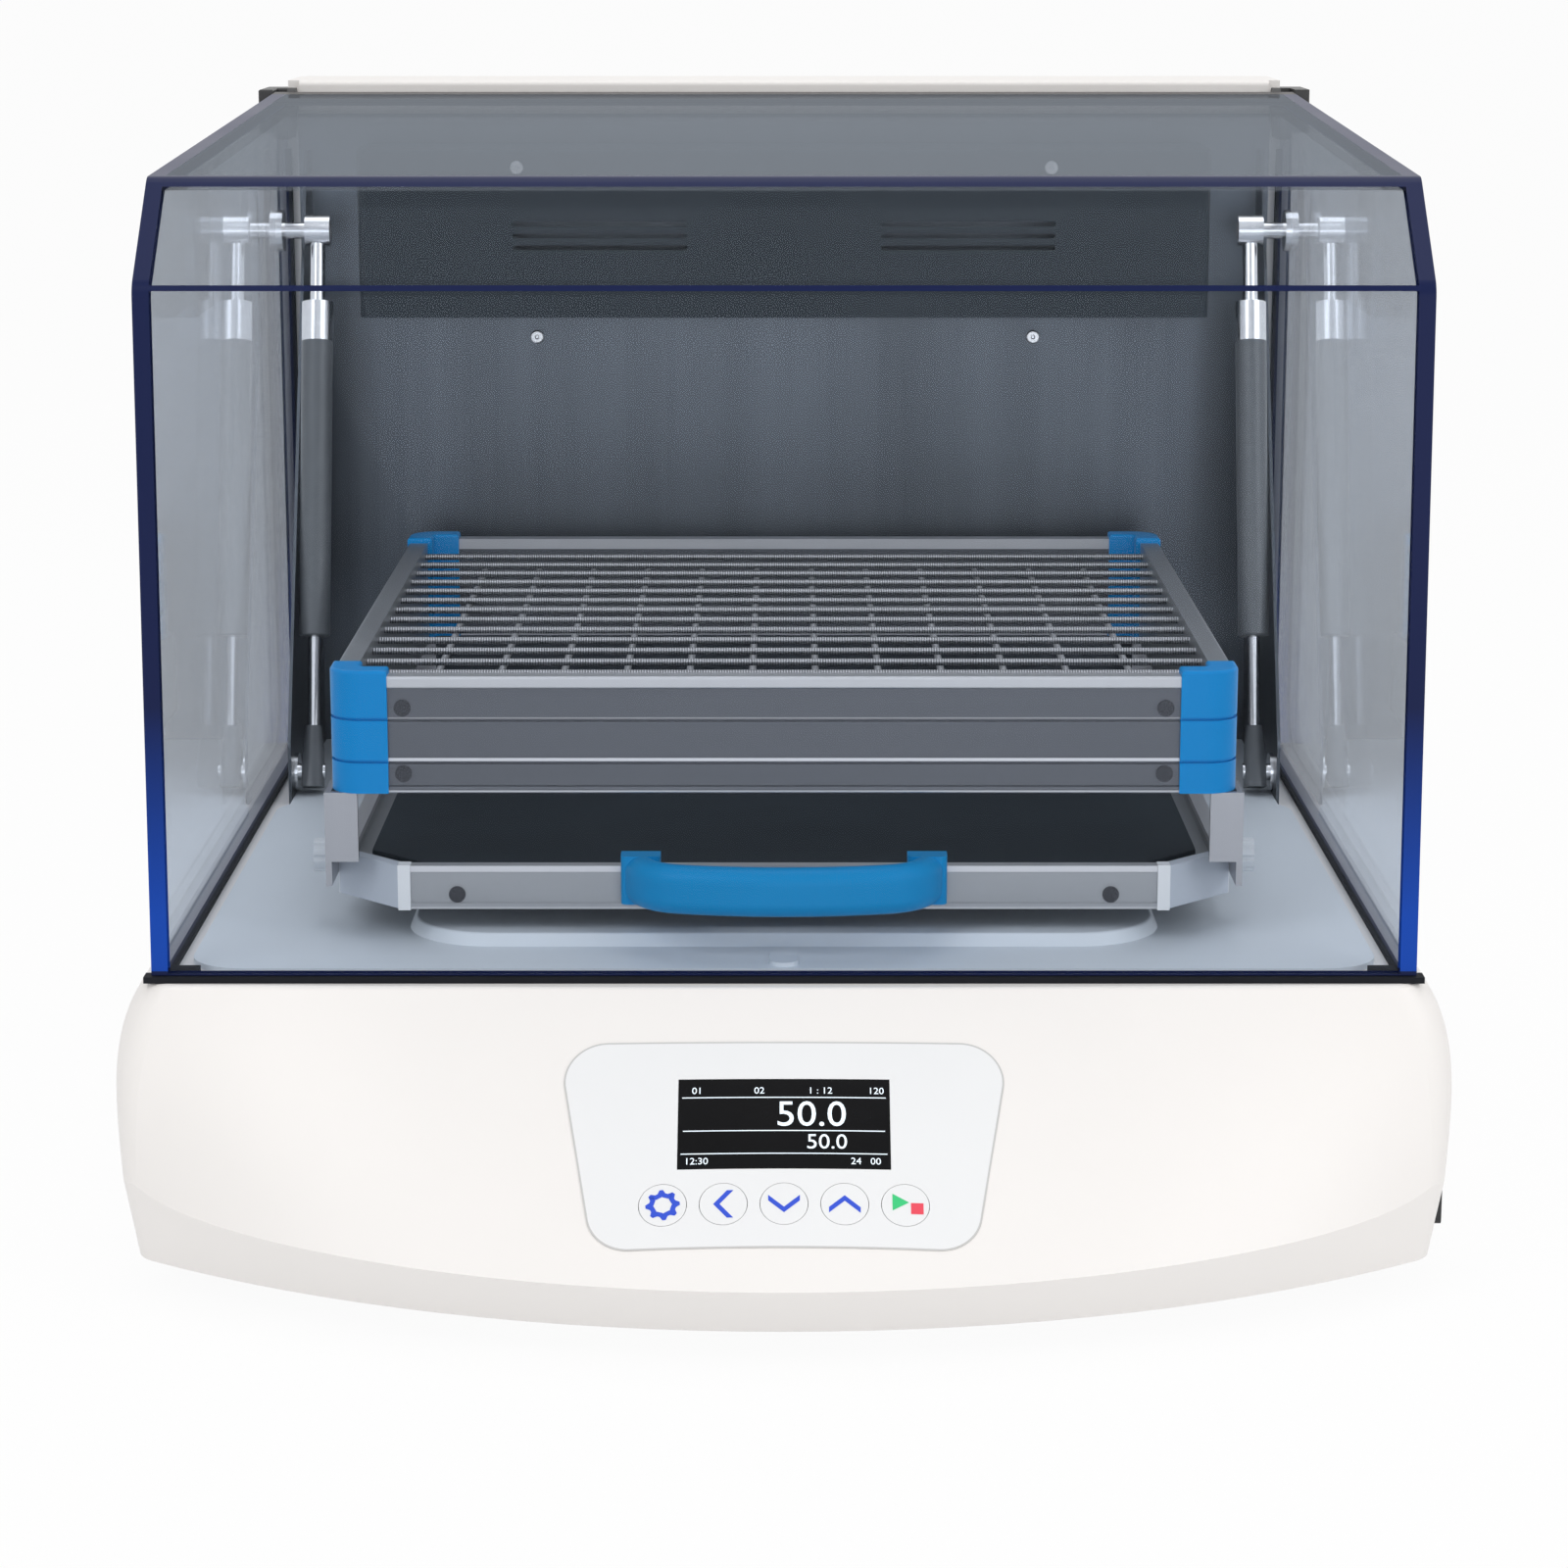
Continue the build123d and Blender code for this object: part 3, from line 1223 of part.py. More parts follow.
corner_span = (platform_width - clamp_corner, platform_depth - clamp_corner)
with BuildPart() as clamp_corners:
    with BuildSketch(level(clamp_bottom)):
        with Locations(platform_centre):
            RectangleRounded(platform_width, platform_depth, clamp_corner_radius)
            RectangleRounded(platform_width - 2 * clamp_corner_wall,
                             platform_depth - 2 * clamp_corner_wall, 3, mode=Mode.SUBTRACT)
            Rectangle(platform_width - 2 * clamp_corner, platform_depth + 1, mode=Mode.SUBTRACT)
            Rectangle(platform_width + 1, platform_depth - 2 * clamp_corner, mode=Mode.SUBTRACT)
    extrude(amount=clamp_rail_height + clamp_corner_rise)
    fillet(clamp_corners.faces().filter_by(Axis.Z).group_by(Axis.Z)[-1].edges(), 1.5)
    for groove in (clamp_upper_groove, clamp_lower_groove):
        with BuildSketch(level(clamp_bottom + groove)):
            with Locations(platform_centre):
                Rectangle(platform_width + 9, platform_depth + 9)
                RectangleRounded(platform_width - 2 * clamp_groove, platform_depth - 2 * clamp_groove,
                                 clamp_corner_radius - clamp_groove, mode=Mode.SUBTRACT)
        extrude(amount=clamp_groove, mode=Mode.SUBTRACT)
finish(clamp_corners, "clamp_corners")

# Corner posts: an angle under each clamp corner, its side leg running down outside the tray
post_top = clamp_bottom
with BuildPart() as corner_posts:
    for side in (-1, 1):
        for end in (-1, 1):
            corner_x = side * platform_width / 2
            corner_y = platform_centre[1] + end * (platform_depth / 2 - post_setback)
            with BuildSketch(level(post_front_foot)):
                with Locations((corner_x - side * post_front_width / 2, corner_y - end * post_sheet / 2)):
                    Rectangle(post_front_width, post_sheet)
            extrude(amount=post_top - post_front_foot)
            with BuildSketch(level(post_foot)):
                with Locations((corner_x + side * post_sheet / 2, corner_y - end * post_side_width / 2)):
                    Rectangle(post_sheet, post_side_width)
            extrude(amount=post_top - post_foot)
    with BuildSketch(across(0)):
        with Locations((platform_centre[1] - platform_depth / 2 + knob_depth, above(knob_height))):
            Circle(knob_stem_radius + slip_gap)
    extrude(amount=platform_width, both=True, mode=Mode.SUBTRACT)
finish(corner_posts, "corner_posts")

knob_face = platform_width / 2 + post_sheet + seat_gap
for side_name, side in (("left", -1), ("right", 1)):
    with BuildPart() as side_knob:
        with BuildSketch(across(side * knob_face)):
            with Locations((platform_centre[1] - platform_depth / 2 + knob_depth, above(knob_height))):
                Circle(knob_radius)
                with PolarLocations(knob_radius + 1, knob_flute_count):
                    Circle(knob_flute_radius, mode=Mode.SUBTRACT)
        extrude(amount=side * knob_length)
        with BuildSketch(across(side * knob_face)):
            with Locations((platform_centre[1] - platform_depth / 2 + knob_depth, above(knob_height))):
                Circle(knob_stem_radius)
        extrude(amount=-side * knob_stem_length)
    finish(side_knob, f"side_knob_{side_name}")

wire_half_width = platform_width / 2 - rail_setback - clamp_rail_thickness
wire_half_depth = platform_depth / 2 - rail_setback - clamp_rail_thickness
rail_top = clamp_bottom + clamp_rail_height
with BuildPart() as cross_wires:
    with BuildSketch(across(0)):
        with Locations((platform_centre[1], above(rail_top - cross_wire_drop))):
            with GridLocations(2 * wire_half_depth / (cross_wire_count + 1), 1, cross_wire_count, 1):
                Circle(wire_radius)
    extrude(amount=wire_half_width, both=True)
finish(cross_wires, "cross_wires")

with BuildPart() as long_wires:
    with BuildSketch(facing(platform_front + platform_depth / 2)):
        with Locations((0, above(rail_top - long_wire_drop))):
            with GridLocations(2 * wire_half_width / (long_wire_count + 1), 1, long_wire_count, 1):
                Circle(wire_radius)
    extrude(amount=wire_half_depth, both=True)
finish(long_wires, "long_wires")

# Screw heads on the front and rear rails of the clamp frame and of the tray
with BuildPart() as rail_screws:
    for plane, length in rails[:2]:
        face = Plane(origin=plane.origin, x_dir=plane.z_dir, z_dir=plane.x_dir)
        with BuildSketch(face.offset(-clamp_bead)):
            for end in (-1, 1):
                with Locations((end * (length / 2 - clamp_corner - screw_inset), -clamp_screw_low),
                               (end * (length / 2 - clamp_corner - screw_inset), -clamp_screw_high)):
                    Circle(screw_head_radius)
        extrude(amount=screw_head_height)
    for plane, length in list(side_planes(rail_relief, tray_bottom))[:2]:
        face = Plane(origin=plane.origin, x_dir=plane.z_dir, z_dir=plane.x_dir)
        with BuildSketch(face):
            with Locations((tray_screw_offset, -tray_rail_height / 3),
                           (-tray_screw_offset, -tray_rail_height / 3)):
                Circle(screw_head_radius)
        extrude(amount=screw_head_height)
finish(rail_screws, "rail_screws")
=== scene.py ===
from math import atan, cos, radians, sin, sqrt, tau

import bpy
from mathutils import Matrix, Vector


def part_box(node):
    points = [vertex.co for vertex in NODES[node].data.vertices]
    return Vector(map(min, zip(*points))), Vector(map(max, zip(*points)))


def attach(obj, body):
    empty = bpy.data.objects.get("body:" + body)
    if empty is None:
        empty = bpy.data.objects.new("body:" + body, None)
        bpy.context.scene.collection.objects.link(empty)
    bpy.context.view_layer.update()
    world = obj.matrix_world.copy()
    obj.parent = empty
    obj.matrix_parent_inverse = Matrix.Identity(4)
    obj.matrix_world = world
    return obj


bl_info = {
    "name": "Shaker incubator dressing",
    "version": (1, 0, 0),
    "blender": (4, 5, 0),
    "location": "View3D > Sidebar > Incubator",
    "description": "Finishes and small pieces for a bench top shaker incubator, with its studio",
    "category": "Object",
}

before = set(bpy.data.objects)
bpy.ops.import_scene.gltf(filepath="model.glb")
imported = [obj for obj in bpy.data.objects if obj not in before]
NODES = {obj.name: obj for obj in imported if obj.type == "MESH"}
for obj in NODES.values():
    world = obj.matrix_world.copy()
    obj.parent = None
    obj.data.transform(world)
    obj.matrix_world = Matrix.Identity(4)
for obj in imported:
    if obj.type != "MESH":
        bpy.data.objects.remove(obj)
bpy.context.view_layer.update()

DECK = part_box("chamber_floor")[0].z
HOOD_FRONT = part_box("hood_cover")[0].y
MM = 0.001

# The fascia at the centre of the instrument: a plane that slopes down and forward.
FASCIA_SLOPE = 1.166
FASCIA_POINT = Vector((0, HOOD_FRONT - 8 * MM, DECK))
FASCIA_NORMAL = Vector((0, -1, FASCIA_SLOPE)).normalized()
FASCIA_UP = Vector((0, FASCIA_SLOPE, 1)).normalized()

# The overlay film narrows towards its foot. Its places are measured down the slope.
FILM_MIDDLE = 71.65 * MM
FILM_HALF = 46.05 * MM
FILM_TOP = FILM_MIDDLE - FILM_HALF
FILM_TOP_REACH = 88.4 * MM          # from the middle to either side, at the top
FILM_TAPER = 15.9 * MM
FILM_LEAN = atan(FILM_TAPER / (2 * FILM_HALF))
FILM_RADIUS = 17.0 * MM
FILM_LINE = 0.7 * MM
KEY_ROW = 98.6 * MM
KEY_PITCH = 23.0 * MM

# A print floats this far above its carrier, and is this thick.
PRINT_LIFT = 0.08 * MM
PRINT_THICKNESS = 0.06 * MM
CAP_HEIGHT = 0.7                    # height of a figure as a share of the type's size

# The two folds of the hood's sheet, in depth and height, and how far their dark bands reach; at the
# front fold, a bend, the band is painted shade.
FRONT_FOLD = (HOOD_FRONT + 10 * MM, DECK + 272.8 * MM)
FRONT_FOLD_SHADE_REACH = 1.5 * MM
TOP_FOLD = (HOOD_FRONT + 56 * MM, DECK + 311.8 * MM)
TOP_FOLD_REACH = 5.5 * MM
HOOD_FOOT_BAND = 3.3 * MM

# Painted glow: the hood's cut edges turn a brighter blue between these heights above the deck.
GLOW_FOOT = 4.5 * MM
GLOW_TOP = 110 * MM
GLOW_RISE = 12.0                    # share of the bright blue gained per metre of height
MIRROR_BASE = 0.012                 # share of light that the sheet mirrors straight on
MIRROR_GRAZING = 0.97               # and what is added at a grazing angle

# The gas struts stand in a plane beside each wall and lean back. The rod is bare above its
# socket, and the cylinder ends in a bright cap, at these distances from the foot.
STRUT_FOOT = Vector((0, HOOD_FRONT + 335 * MM, DECK + 12.8 * MM))
STRUT_LEAN = radians(16.85)
ROD_BARE_FROM = 22.1 * MM
TUBE_CAP_FROM = 208 * MM
STRUT_END = 400 * MM

# Painted highlights along the edges of the extrusions: from and to in millimetres above the deck,
# and how bright.
CROSS_RAIL_PAINTED_HIGHLIGHTS = ((107.8, 113, 0.52), (77.9, 79.2, 0.62), (64, 66, 0.6), (95.4, 96, 0.3))
TRAY_RAIL_PAINTED_HIGHLIGHTS = ((32.3, 35, 0.62), (16, 17.6, 0.55))
CAP_INSET = Vector((26.8 * MM, 27.6 * MM))      # where the tray corners' pale caps begin

WIRE_TURN = 1.1 * MM                # pitch of the wound spring wires

# The camera, from the photograph's perspective. The first three are in the photo's pixels.
PHOTO_SIZE = 1600
FOCAL_LENGTH = 3915
EYE_ABOVE_AIM = 860
SENSOR = 36.0                       # width in millimetres
EYE_DISTANCE = 1.5                  # metres in front of the hood
EYE_HEIGHT = 0.4098                 # metres above the deck


class Value:
    """One output in a material's node tree; the usual signs between values add Math nodes."""

    def __init__(self, finish, socket):
        self.finish = finish
        self.socket = socket

    def math(self, operation, *others):
        """A Math node on this value and up to two others."""
        sockets = {0: self}
        for place, other in enumerate(others):
            sockets[place + 1] = other
        return self.finish.add("Math", {"operation": operation}, sockets)

    def __add__(self, other):
        return self.math("ADD", other)

    __radd__ = __add__

    def __mul__(self, other):
        return self.math("MULTIPLY", other)

    __rmul__ = __mul__

    def __sub__(self, other):
        return self.math("SUBTRACT", other)

    def __rsub__(self, other):
        return self.finish.add("Math", {"operation": "SUBTRACT"}, {0: other, 1: self})

    def __abs__(self):
        return self.math("ABSOLUTE")

    def __gt__(self, other):
        return self.math("GREATER_THAN", other)

    def __lt__(self, other):
        return self.math("LESS_THAN", other)

    def clamped(self):
        """This value held between 0 and 1."""
        return self.finish.add("Clamp", {}, {0: self})


class Finish:
    """One material, with its node tree built from short calls."""

    def __init__(self, name):
        self.material = bpy.data.materials.new(name)
        self.material.use_nodes = True
        self.tree = self.material.node_tree
        self.tree.nodes.clear()

    def add(self, kind, settings=None, sockets=None, out=0):
        """A node of this kind, its settings first and then its values or links."""
        node = self.tree.nodes.new("ShaderNode" + kind)
        for key, setting in (settings or {}).items():
            setattr(node, key, setting)
        for key, wanted in (sockets or {}).items():
            if isinstance(wanted, Value):
                self.tree.links.new(wanted.socket, node.inputs[key])
            else:
                node.inputs[key].default_value = wanted
        return Value(self, node.outputs[out])

    def place(self):
        """Object coordinates, in metres."""
        return self.add("TexCoord", out="Object")

    def parts(self, vector):
        """The x, y and z of a vector."""
        split = self.add("SeparateXYZ", {}, {0: vector})
        return [Value(self, output) for output in split.socket.node.outputs]

    def noise(self, size, detail=2.0):
        """Smooth noise around 0.5, with features of this size in metres."""
        return self.add("TexNoise", {}, {"Vector": self.place(), "Scale": 1 / size,
                                         "Detail": detail})

    def streaks(self, axis, along, across, detail):
        """Noise drawn out along one axis, by its features per metre along and across it."""
        scale = [across, across, across]
        scale[axis] = along
        vector = self.add("VectorMath", {"operation": "MULTIPLY"}, {0: self.place(), 1: scale})
        return self.add("TexNoise", {}, {"Vector": vector, "Scale": 1.0, "Detail": detail})

    def blend(self, factor, first, second):
        """A colour between two, by a factor."""
        first, second = [c if isinstance(c, Value) else (*c, 1) for c in (first, second)]
        return self.add("Mix", {"data_type": "RGBA"}, {0: factor, 6: first, 7: second}, out=2)

    def bump(self, height, depth):
        """A normal from a height between 0 and 1, whose full range is this deep in metres."""
        return self.add("Bump", {}, {"Height": height, "Distance": depth, "Strength": 1.0})

    def surface(self, **sockets):
        """A Principled shader; names use underscores for spaces."""
        values = {key.replace("_", " "): value for key, value in sockets.items()}
        for key, value in values.items():
            if key.endswith("Color") and not isinstance(value, Value):
                values[key] = (*value, 1)
        return self.add("BsdfPrincipled", {}, values)

    def done(self, shader):
        """Ends the tree with this shader and gives the material."""
        output = self.tree.nodes.new("ShaderNodeOutputMaterial")
        self.tree.links.new(shader.socket, output.inputs["Surface"])
        return self.material


def scaled(colour, factor):
    """A colour made brighter or darker, no brighter than white."""
    return tuple(min(1.0, channel * factor) for channel in colour)


def either(first, second):
    """1 where either mask is 1."""
    return (first + second).clamped()


def moulded_plastic(name, colour, roughness=0.42, drift=0.03, gloss=0.5):
    """Injection moulded plastic: a fine grain, a little drift in tone and in gloss."""
    finish = Finish(name)
    cloud = finish.noise(0.05, 3.0)
    fine = finish.noise(0.0004)
    tone = finish.blend(cloud, scaled(colour, 1 - drift), scaled(colour, 1 + drift))
    dull = (roughness - 0.06) + 0.08 * cloud + 0.04 * fine
    return finish.done(finish.surface(Base_Color=tone, Roughness=dull, Specular_IOR_Level=gloss,
                                      Normal=finish.bump(fine, 0.000012)))


def powder_coat(name, colour, roughness=0.5, depth=0.00003, gloss=0.5):
    """Powder coated sheet: the slight peel of baked paint."""
    finish = Finish(name)
    peel = finish.noise(0.0011)
    cloud = finish.noise(0.08, 3.0)
    tone = finish.blend(cloud, scaled(colour, 0.97), colour)
    dull = (roughness - 0.05) + 0.1 * peel
    return finish.done(finish.surface(Base_Color=tone, Roughness=dull, Specular_IOR_Level=gloss,
                                      Normal=finish.bump(peel, depth)))


def brushed_metal(name, colour, along, roughness=0.34, contrast=0.12, metallic=1.0, painted_highlights=(),
                  bands=0.0):
    """Metal brushed along one axis: long fine scratches in tone, gloss and relief.

    Painted highlights are bright stretches between two heights above the deck, each with its
    brightness.
    Bands are broad soft streaks that run with the brushing, as on rolled sheet.
    """
    finish = Finish(name)
    hair = finish.streaks(along, 14.0, 2400.0, 3.0)
    streak = finish.streaks(along, 2.0, 160.0, 2.0)
    cloud = finish.noise(0.12)
    tone = finish.blend((0.6 * hair + 0.4 * streak).clamped(),
                        scaled(colour, 1 - contrast), scaled(colour, 1 + contrast))
    if bands:
        broad = finish.streaks(along, 1.2, 24.0, 3.0)
        share = bands * ((broad - 0.35) * 3.0).clamped()
        tone = finish.blend(share, tone, scaled(colour, 1.9))
    height = finish.parts(finish.place())[2] if painted_highlights else None
    # Painted highlights: each stretch of height is blended to a pale grey, standing in for light
    # caught along the rails.
    for low, high, bright in painted_highlights:
        stretch = (height > DECK + low * MM) * (height < DECK + high * MM)
        tone = finish.blend(stretch, tone, (bright, bright, bright * 1.03))
    gloss = (roughness - 0.12) + 0.14 * hair + 0.1 * cloud
    return finish.done(finish.surface(Base_Color=tone, Metallic=metallic, Roughness=gloss,
                                      Normal=finish.bump(hair, 0.00002)))


def polished_metal(name, colour, roughness=0.16):
    """Turned or plated metal with faint handling marks."""
    finish = Finish(name)
    smear = finish.noise(0.006, 4.0)
    fine = finish.noise(0.0006)
    tone = finish.blend(smear, scaled(colour, 0.9), colour)
    gloss = (roughness - 0.05) + 0.1 * smear + 0.05 * fine
    return finish.done(finish.surface(Base_Color=tone, Metallic=1.0, Roughness=gloss))


def moulded_rubber(name, colour, roughness=0.72):
    """Rubber with a dull skin and dust in its grain."""
    finish = Finish(name)
    grain = finish.noise(0.0009, 3.0)
    cloud = finish.noise(0.03, 3.0)
    tone = finish.blend(cloud, colour, tuple(c * 1.5 + 0.004 for c in colour))
    dull = (roughness - 0.08) + 0.16 * grain
    return finish.done(finish.surface(Base_Color=tone, Roughness=dull, Specular_IOR_Level=0.15,
                                      Normal=finish.bump(grain, 0.00004)))


def spangled_sheet(name, colour):
    """Galvanised sheet: flat crystals of zinc in slightly different greys."""
    finish = Finish(name)
    crystal = finish.add("TexVoronoi", {}, {"Vector": finish.place(), "Scale": 160.0}, out="Color")
    shade = finish.parts(crystal)[0]
    tone = finish.blend(shade, scaled(colour, 0.82), scaled(colour, 1.12))
    return finish.done(finish.surface(Base_Color=tone, Metallic=0.9,
                                      Roughness=0.34 + 0.18 * shade))


def clear_hood(name, mirrored, edge_test):
    """Tinted acrylic: see-through faces, mirror gloss, and edges that gather the dark blue tint.

    The test takes the finish and gives two masks: the blue edge and the dark seal.
    """
    dressing = bpy.context.scene.hood_finish
    finish = Finish(name)
    smear = finish.noise(0.09, 3.0)
    edge, seal = edge_test(finish)
    through = finish.add("BsdfTransparent", {}, {"Color": (*dressing.tint, 1)})
    mirror = finish.add("BsdfGlossy", {}, {"Color": (*mirrored, 1),
                                           "Roughness": 0.02 + 0.02 * smear})
    grazing = finish.add("LayerWeight", {}, {"Blend": 0.5}, out="Facing")
    share = MIRROR_BASE + MIRROR_GRAZING * grazing.math("POWER", 5.0)
    face = finish.add("MixShader", {}, {0: share, 1: through, 2: mirror})
    height = finish.parts(finish.place())[2]
    # Painted glow: the cut edges are a brighter blue low on the hood.
    low = ((DECK + GLOW_TOP - height) * GLOW_RISE).clamped() * (height > DECK + GLOW_FOOT)
    tone = finish.blend(low, dressing.edge_dark, dressing.edge_painted_glow)
    tone = finish.blend(seal, tone, (0.02, 0.017, 0.016))
    solid = finish.surface(Base_Color=tone, Roughness=0.3 + 0.1 * smear, Specular_IOR_Level=0.12)
    return finish.done(finish.add("MixShader", {}, {0: either(edge, seal), 1: face, 2: solid}))


class ChamberHues(bpy.types.PropertyGroup):
    """Colours of the opaque pieces."""

    cover: bpy.props.FloatVectorProperty(
        name="Base cover", description="Colour of the white moulded base and rear housing",
        subtype="COLOR", size=3, min=0, max=1, default=(0.9, 0.872, 0.85))
    accent: bpy.props.FloatVectorProperty(
        name="Clamp corners", description="Colour of the four moulded corner blocks",
        subtype="COLOR", size=3, min=0, max=1, default=(0.0, 0.27, 0.66))
    handle: bpy.props.FloatVectorProperty(
        name="Tray handle", description="Colour of the bow handle",
        subtype="COLOR", size=3, min=0, max=1, default=(0.0, 0.26, 0.58))
    print_blue: bpy.props.FloatVectorProperty(
        name="Key print", description="Colour of the printed key symbols",
        subtype="COLOR", size=3, min=0, max=1, default=(0.012, 0.07, 0.66))


class HoodFinish(bpy.types.PropertyGroup):
    """Colours of the clear hood."""

    tint: bpy.props.FloatVectorProperty(
        name="Tint", description="What one face of the sheet lets through",
        subtype="COLOR", size=3, min=0, max=1, default=(0.94, 0.955, 0.975))
    top_mirror: bpy.props.FloatVectorProperty(
        name="Sheet gloss", description="What the bent sheet mirrors, under a dim ceiling",
        subtype="COLOR", size=3, min=0, max=1, default=(0.28, 0.31, 0.35))
    side_mirror: bpy.props.FloatVectorProperty(
        name="Side gloss", description="What the side panels mirror",
        subtype="COLOR", size=3, min=0, max=1, default=(0.85, 0.88, 0.92))
    edge_band: bpy.props.FloatProperty(
        name="Edge band", description="Width over which a cut edge shows through the sheet",
        subtype="DISTANCE", unit="LENGTH", min=0.002, max=0.02, default=0.0066)
    rear_seal: bpy.props.FloatProperty(
        name="Rear seal", description="Width of the dark seal under the sheet's rear edge",
        subtype="DISTANCE", unit="LENGTH", min=0.002, max=0.03, default=0.014)
    edge_dark: bpy.props.FloatVectorProperty(
        name="Edge", description="Colour of the cut edges",
        subtype="COLOR", size=3, min=0, max=1, default=(0.006, 0.012, 0.06))
    # Painted glow of the cut edges near the deck.
    edge_painted_glow: bpy.props.FloatVectorProperty(
        name="Lower edge", description="Colour of the cut edges near the deck",
        subtype="COLOR", size=3, min=0, max=1, default=(0.006, 0.06, 0.4))


class FittingSizes(bpy.types.PropertyGroup):
    """Sizes of the small fittings."""

    screw_radius: bpy.props.FloatProperty(
        name="Panel screw", description="Radius of a panel screw's head",
        subtype="DISTANCE", unit="LENGTH", min=0.001, max=0.008, default=0.0034)
    digit_height: bpy.props.FloatProperty(
        name="Large digits", description="Height of the large figures on the display",
        subtype="DISTANCE", unit="LENGTH", min=0.004, max=0.03, default=0.0112)


def dress(names, material):
    """Gives these CAD nodes one finish."""
    for name in names:
        for slot in NODES[name].material_slots:
            slot.material = material


def lone(made, name):
    """Names the object that an operator has just added."""
    made.name = name
    made.data.name = name
    return made


def clear_selection():
    """Leaves object mode with nothing selected."""
    if bpy.context.object and bpy.context.object.mode != "OBJECT":
        bpy.ops.object.mode_set(mode="OBJECT")
    bpy.ops.object.select_all(action="DESELECT")


def settle(piece, material, body):
    """Applies a finished piece's place to its mesh, gives it its finish and its body."""
    clear_selection()
    bpy.context.view_layer.objects.active = piece
    piece.select_set(True)
    bpy.ops.object.transform_apply(location=True, rotation=True, scale=True)
    piece.data.materials.clear()
    piece.data.materials.append(material)
    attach(piece, body)
    piece.select_set(False)
    return piece


def pick(piece, test, kind="FACE"):
    """In edit mode, selects the faces or vertices that pass a test."""
    bpy.context.view_layer.objects.active = piece
    bpy.ops.object.mode_set(mode="EDIT")
    bpy.ops.mesh.select_mode(type=kind)
    bpy.ops.mesh.select_all(action="DESELECT")
    bpy.ops.object.mode_set(mode="OBJECT")
    for part in (piece.data.polygons if kind == "FACE" else piece.data.vertices):
        part.select = bool(test(part))
    bpy.ops.object.mode_set(mode="EDIT")


def apply_all(piece):
    """Applies the modifiers of a piece, in order."""
    clear_selection()
    bpy.context.view_layer.objects.active = piece
    piece.select_set(True)
    for modifier in list(piece.modifiers):
        bpy.ops.object.modifier_apply(modifier=modifier.name)


def fascia_place(x, down):
    """A frame on the fascia: x to the right, y up the slope, z outwards."""
    origin = FASCIA_POINT - FASCIA_UP * down
    origin.x = x
    turn = Matrix((Vector((1, 0, 0)), FASCIA_UP, FASCIA_NORMAL)).transposed().to_4x4()
    return Matrix.Translation(origin) @ turn


def lay_print(piece, carrier, material, body):
    """Lays a flat print on a curved carrier and gives it the thickness of ink or film."""
    clear_selection()
    bpy.context.view_layer.objects.active = piece
    piece.select_set(True)
    bpy.ops.object.transform_apply(location=True, rotation=True, scale=True)
    wrap = piece.modifiers.new("lay", "SHRINKWRAP")
    wrap.target = NODES[carrier]
    wrap.wrap_method = "NEAREST_SURFACEPOINT"
    wrap.wrap_mode = "ABOVE_SURFACE"
    wrap.offset = PRINT_LIFT
    skin = piece.modifiers.new("film", "SOLIDIFY")
    skin.thickness = PRINT_THICKNESS
    skin.offset = 0
    apply_all(piece)
    return settle(piece, material, body)


def figures(text, name, height, x, down):
    """Plain figures as a mesh, standing on the fascia plane."""
    clear_selection()
    bpy.ops.object.text_add(location=(0, 0, 0))
    piece = bpy.context.object
    piece.data.body = text
    piece.data.align_x = "CENTER"
    piece.data.align_y = "CENTER"
    piece.data.size = height / CAP_HEIGHT
    piece.data.resolution_u = 4
    bpy.ops.object.convert(target="MESH")
    piece = lone(bpy.context.object, name)
    piece.matrix_world = fascia_place(x, down)
    return piece


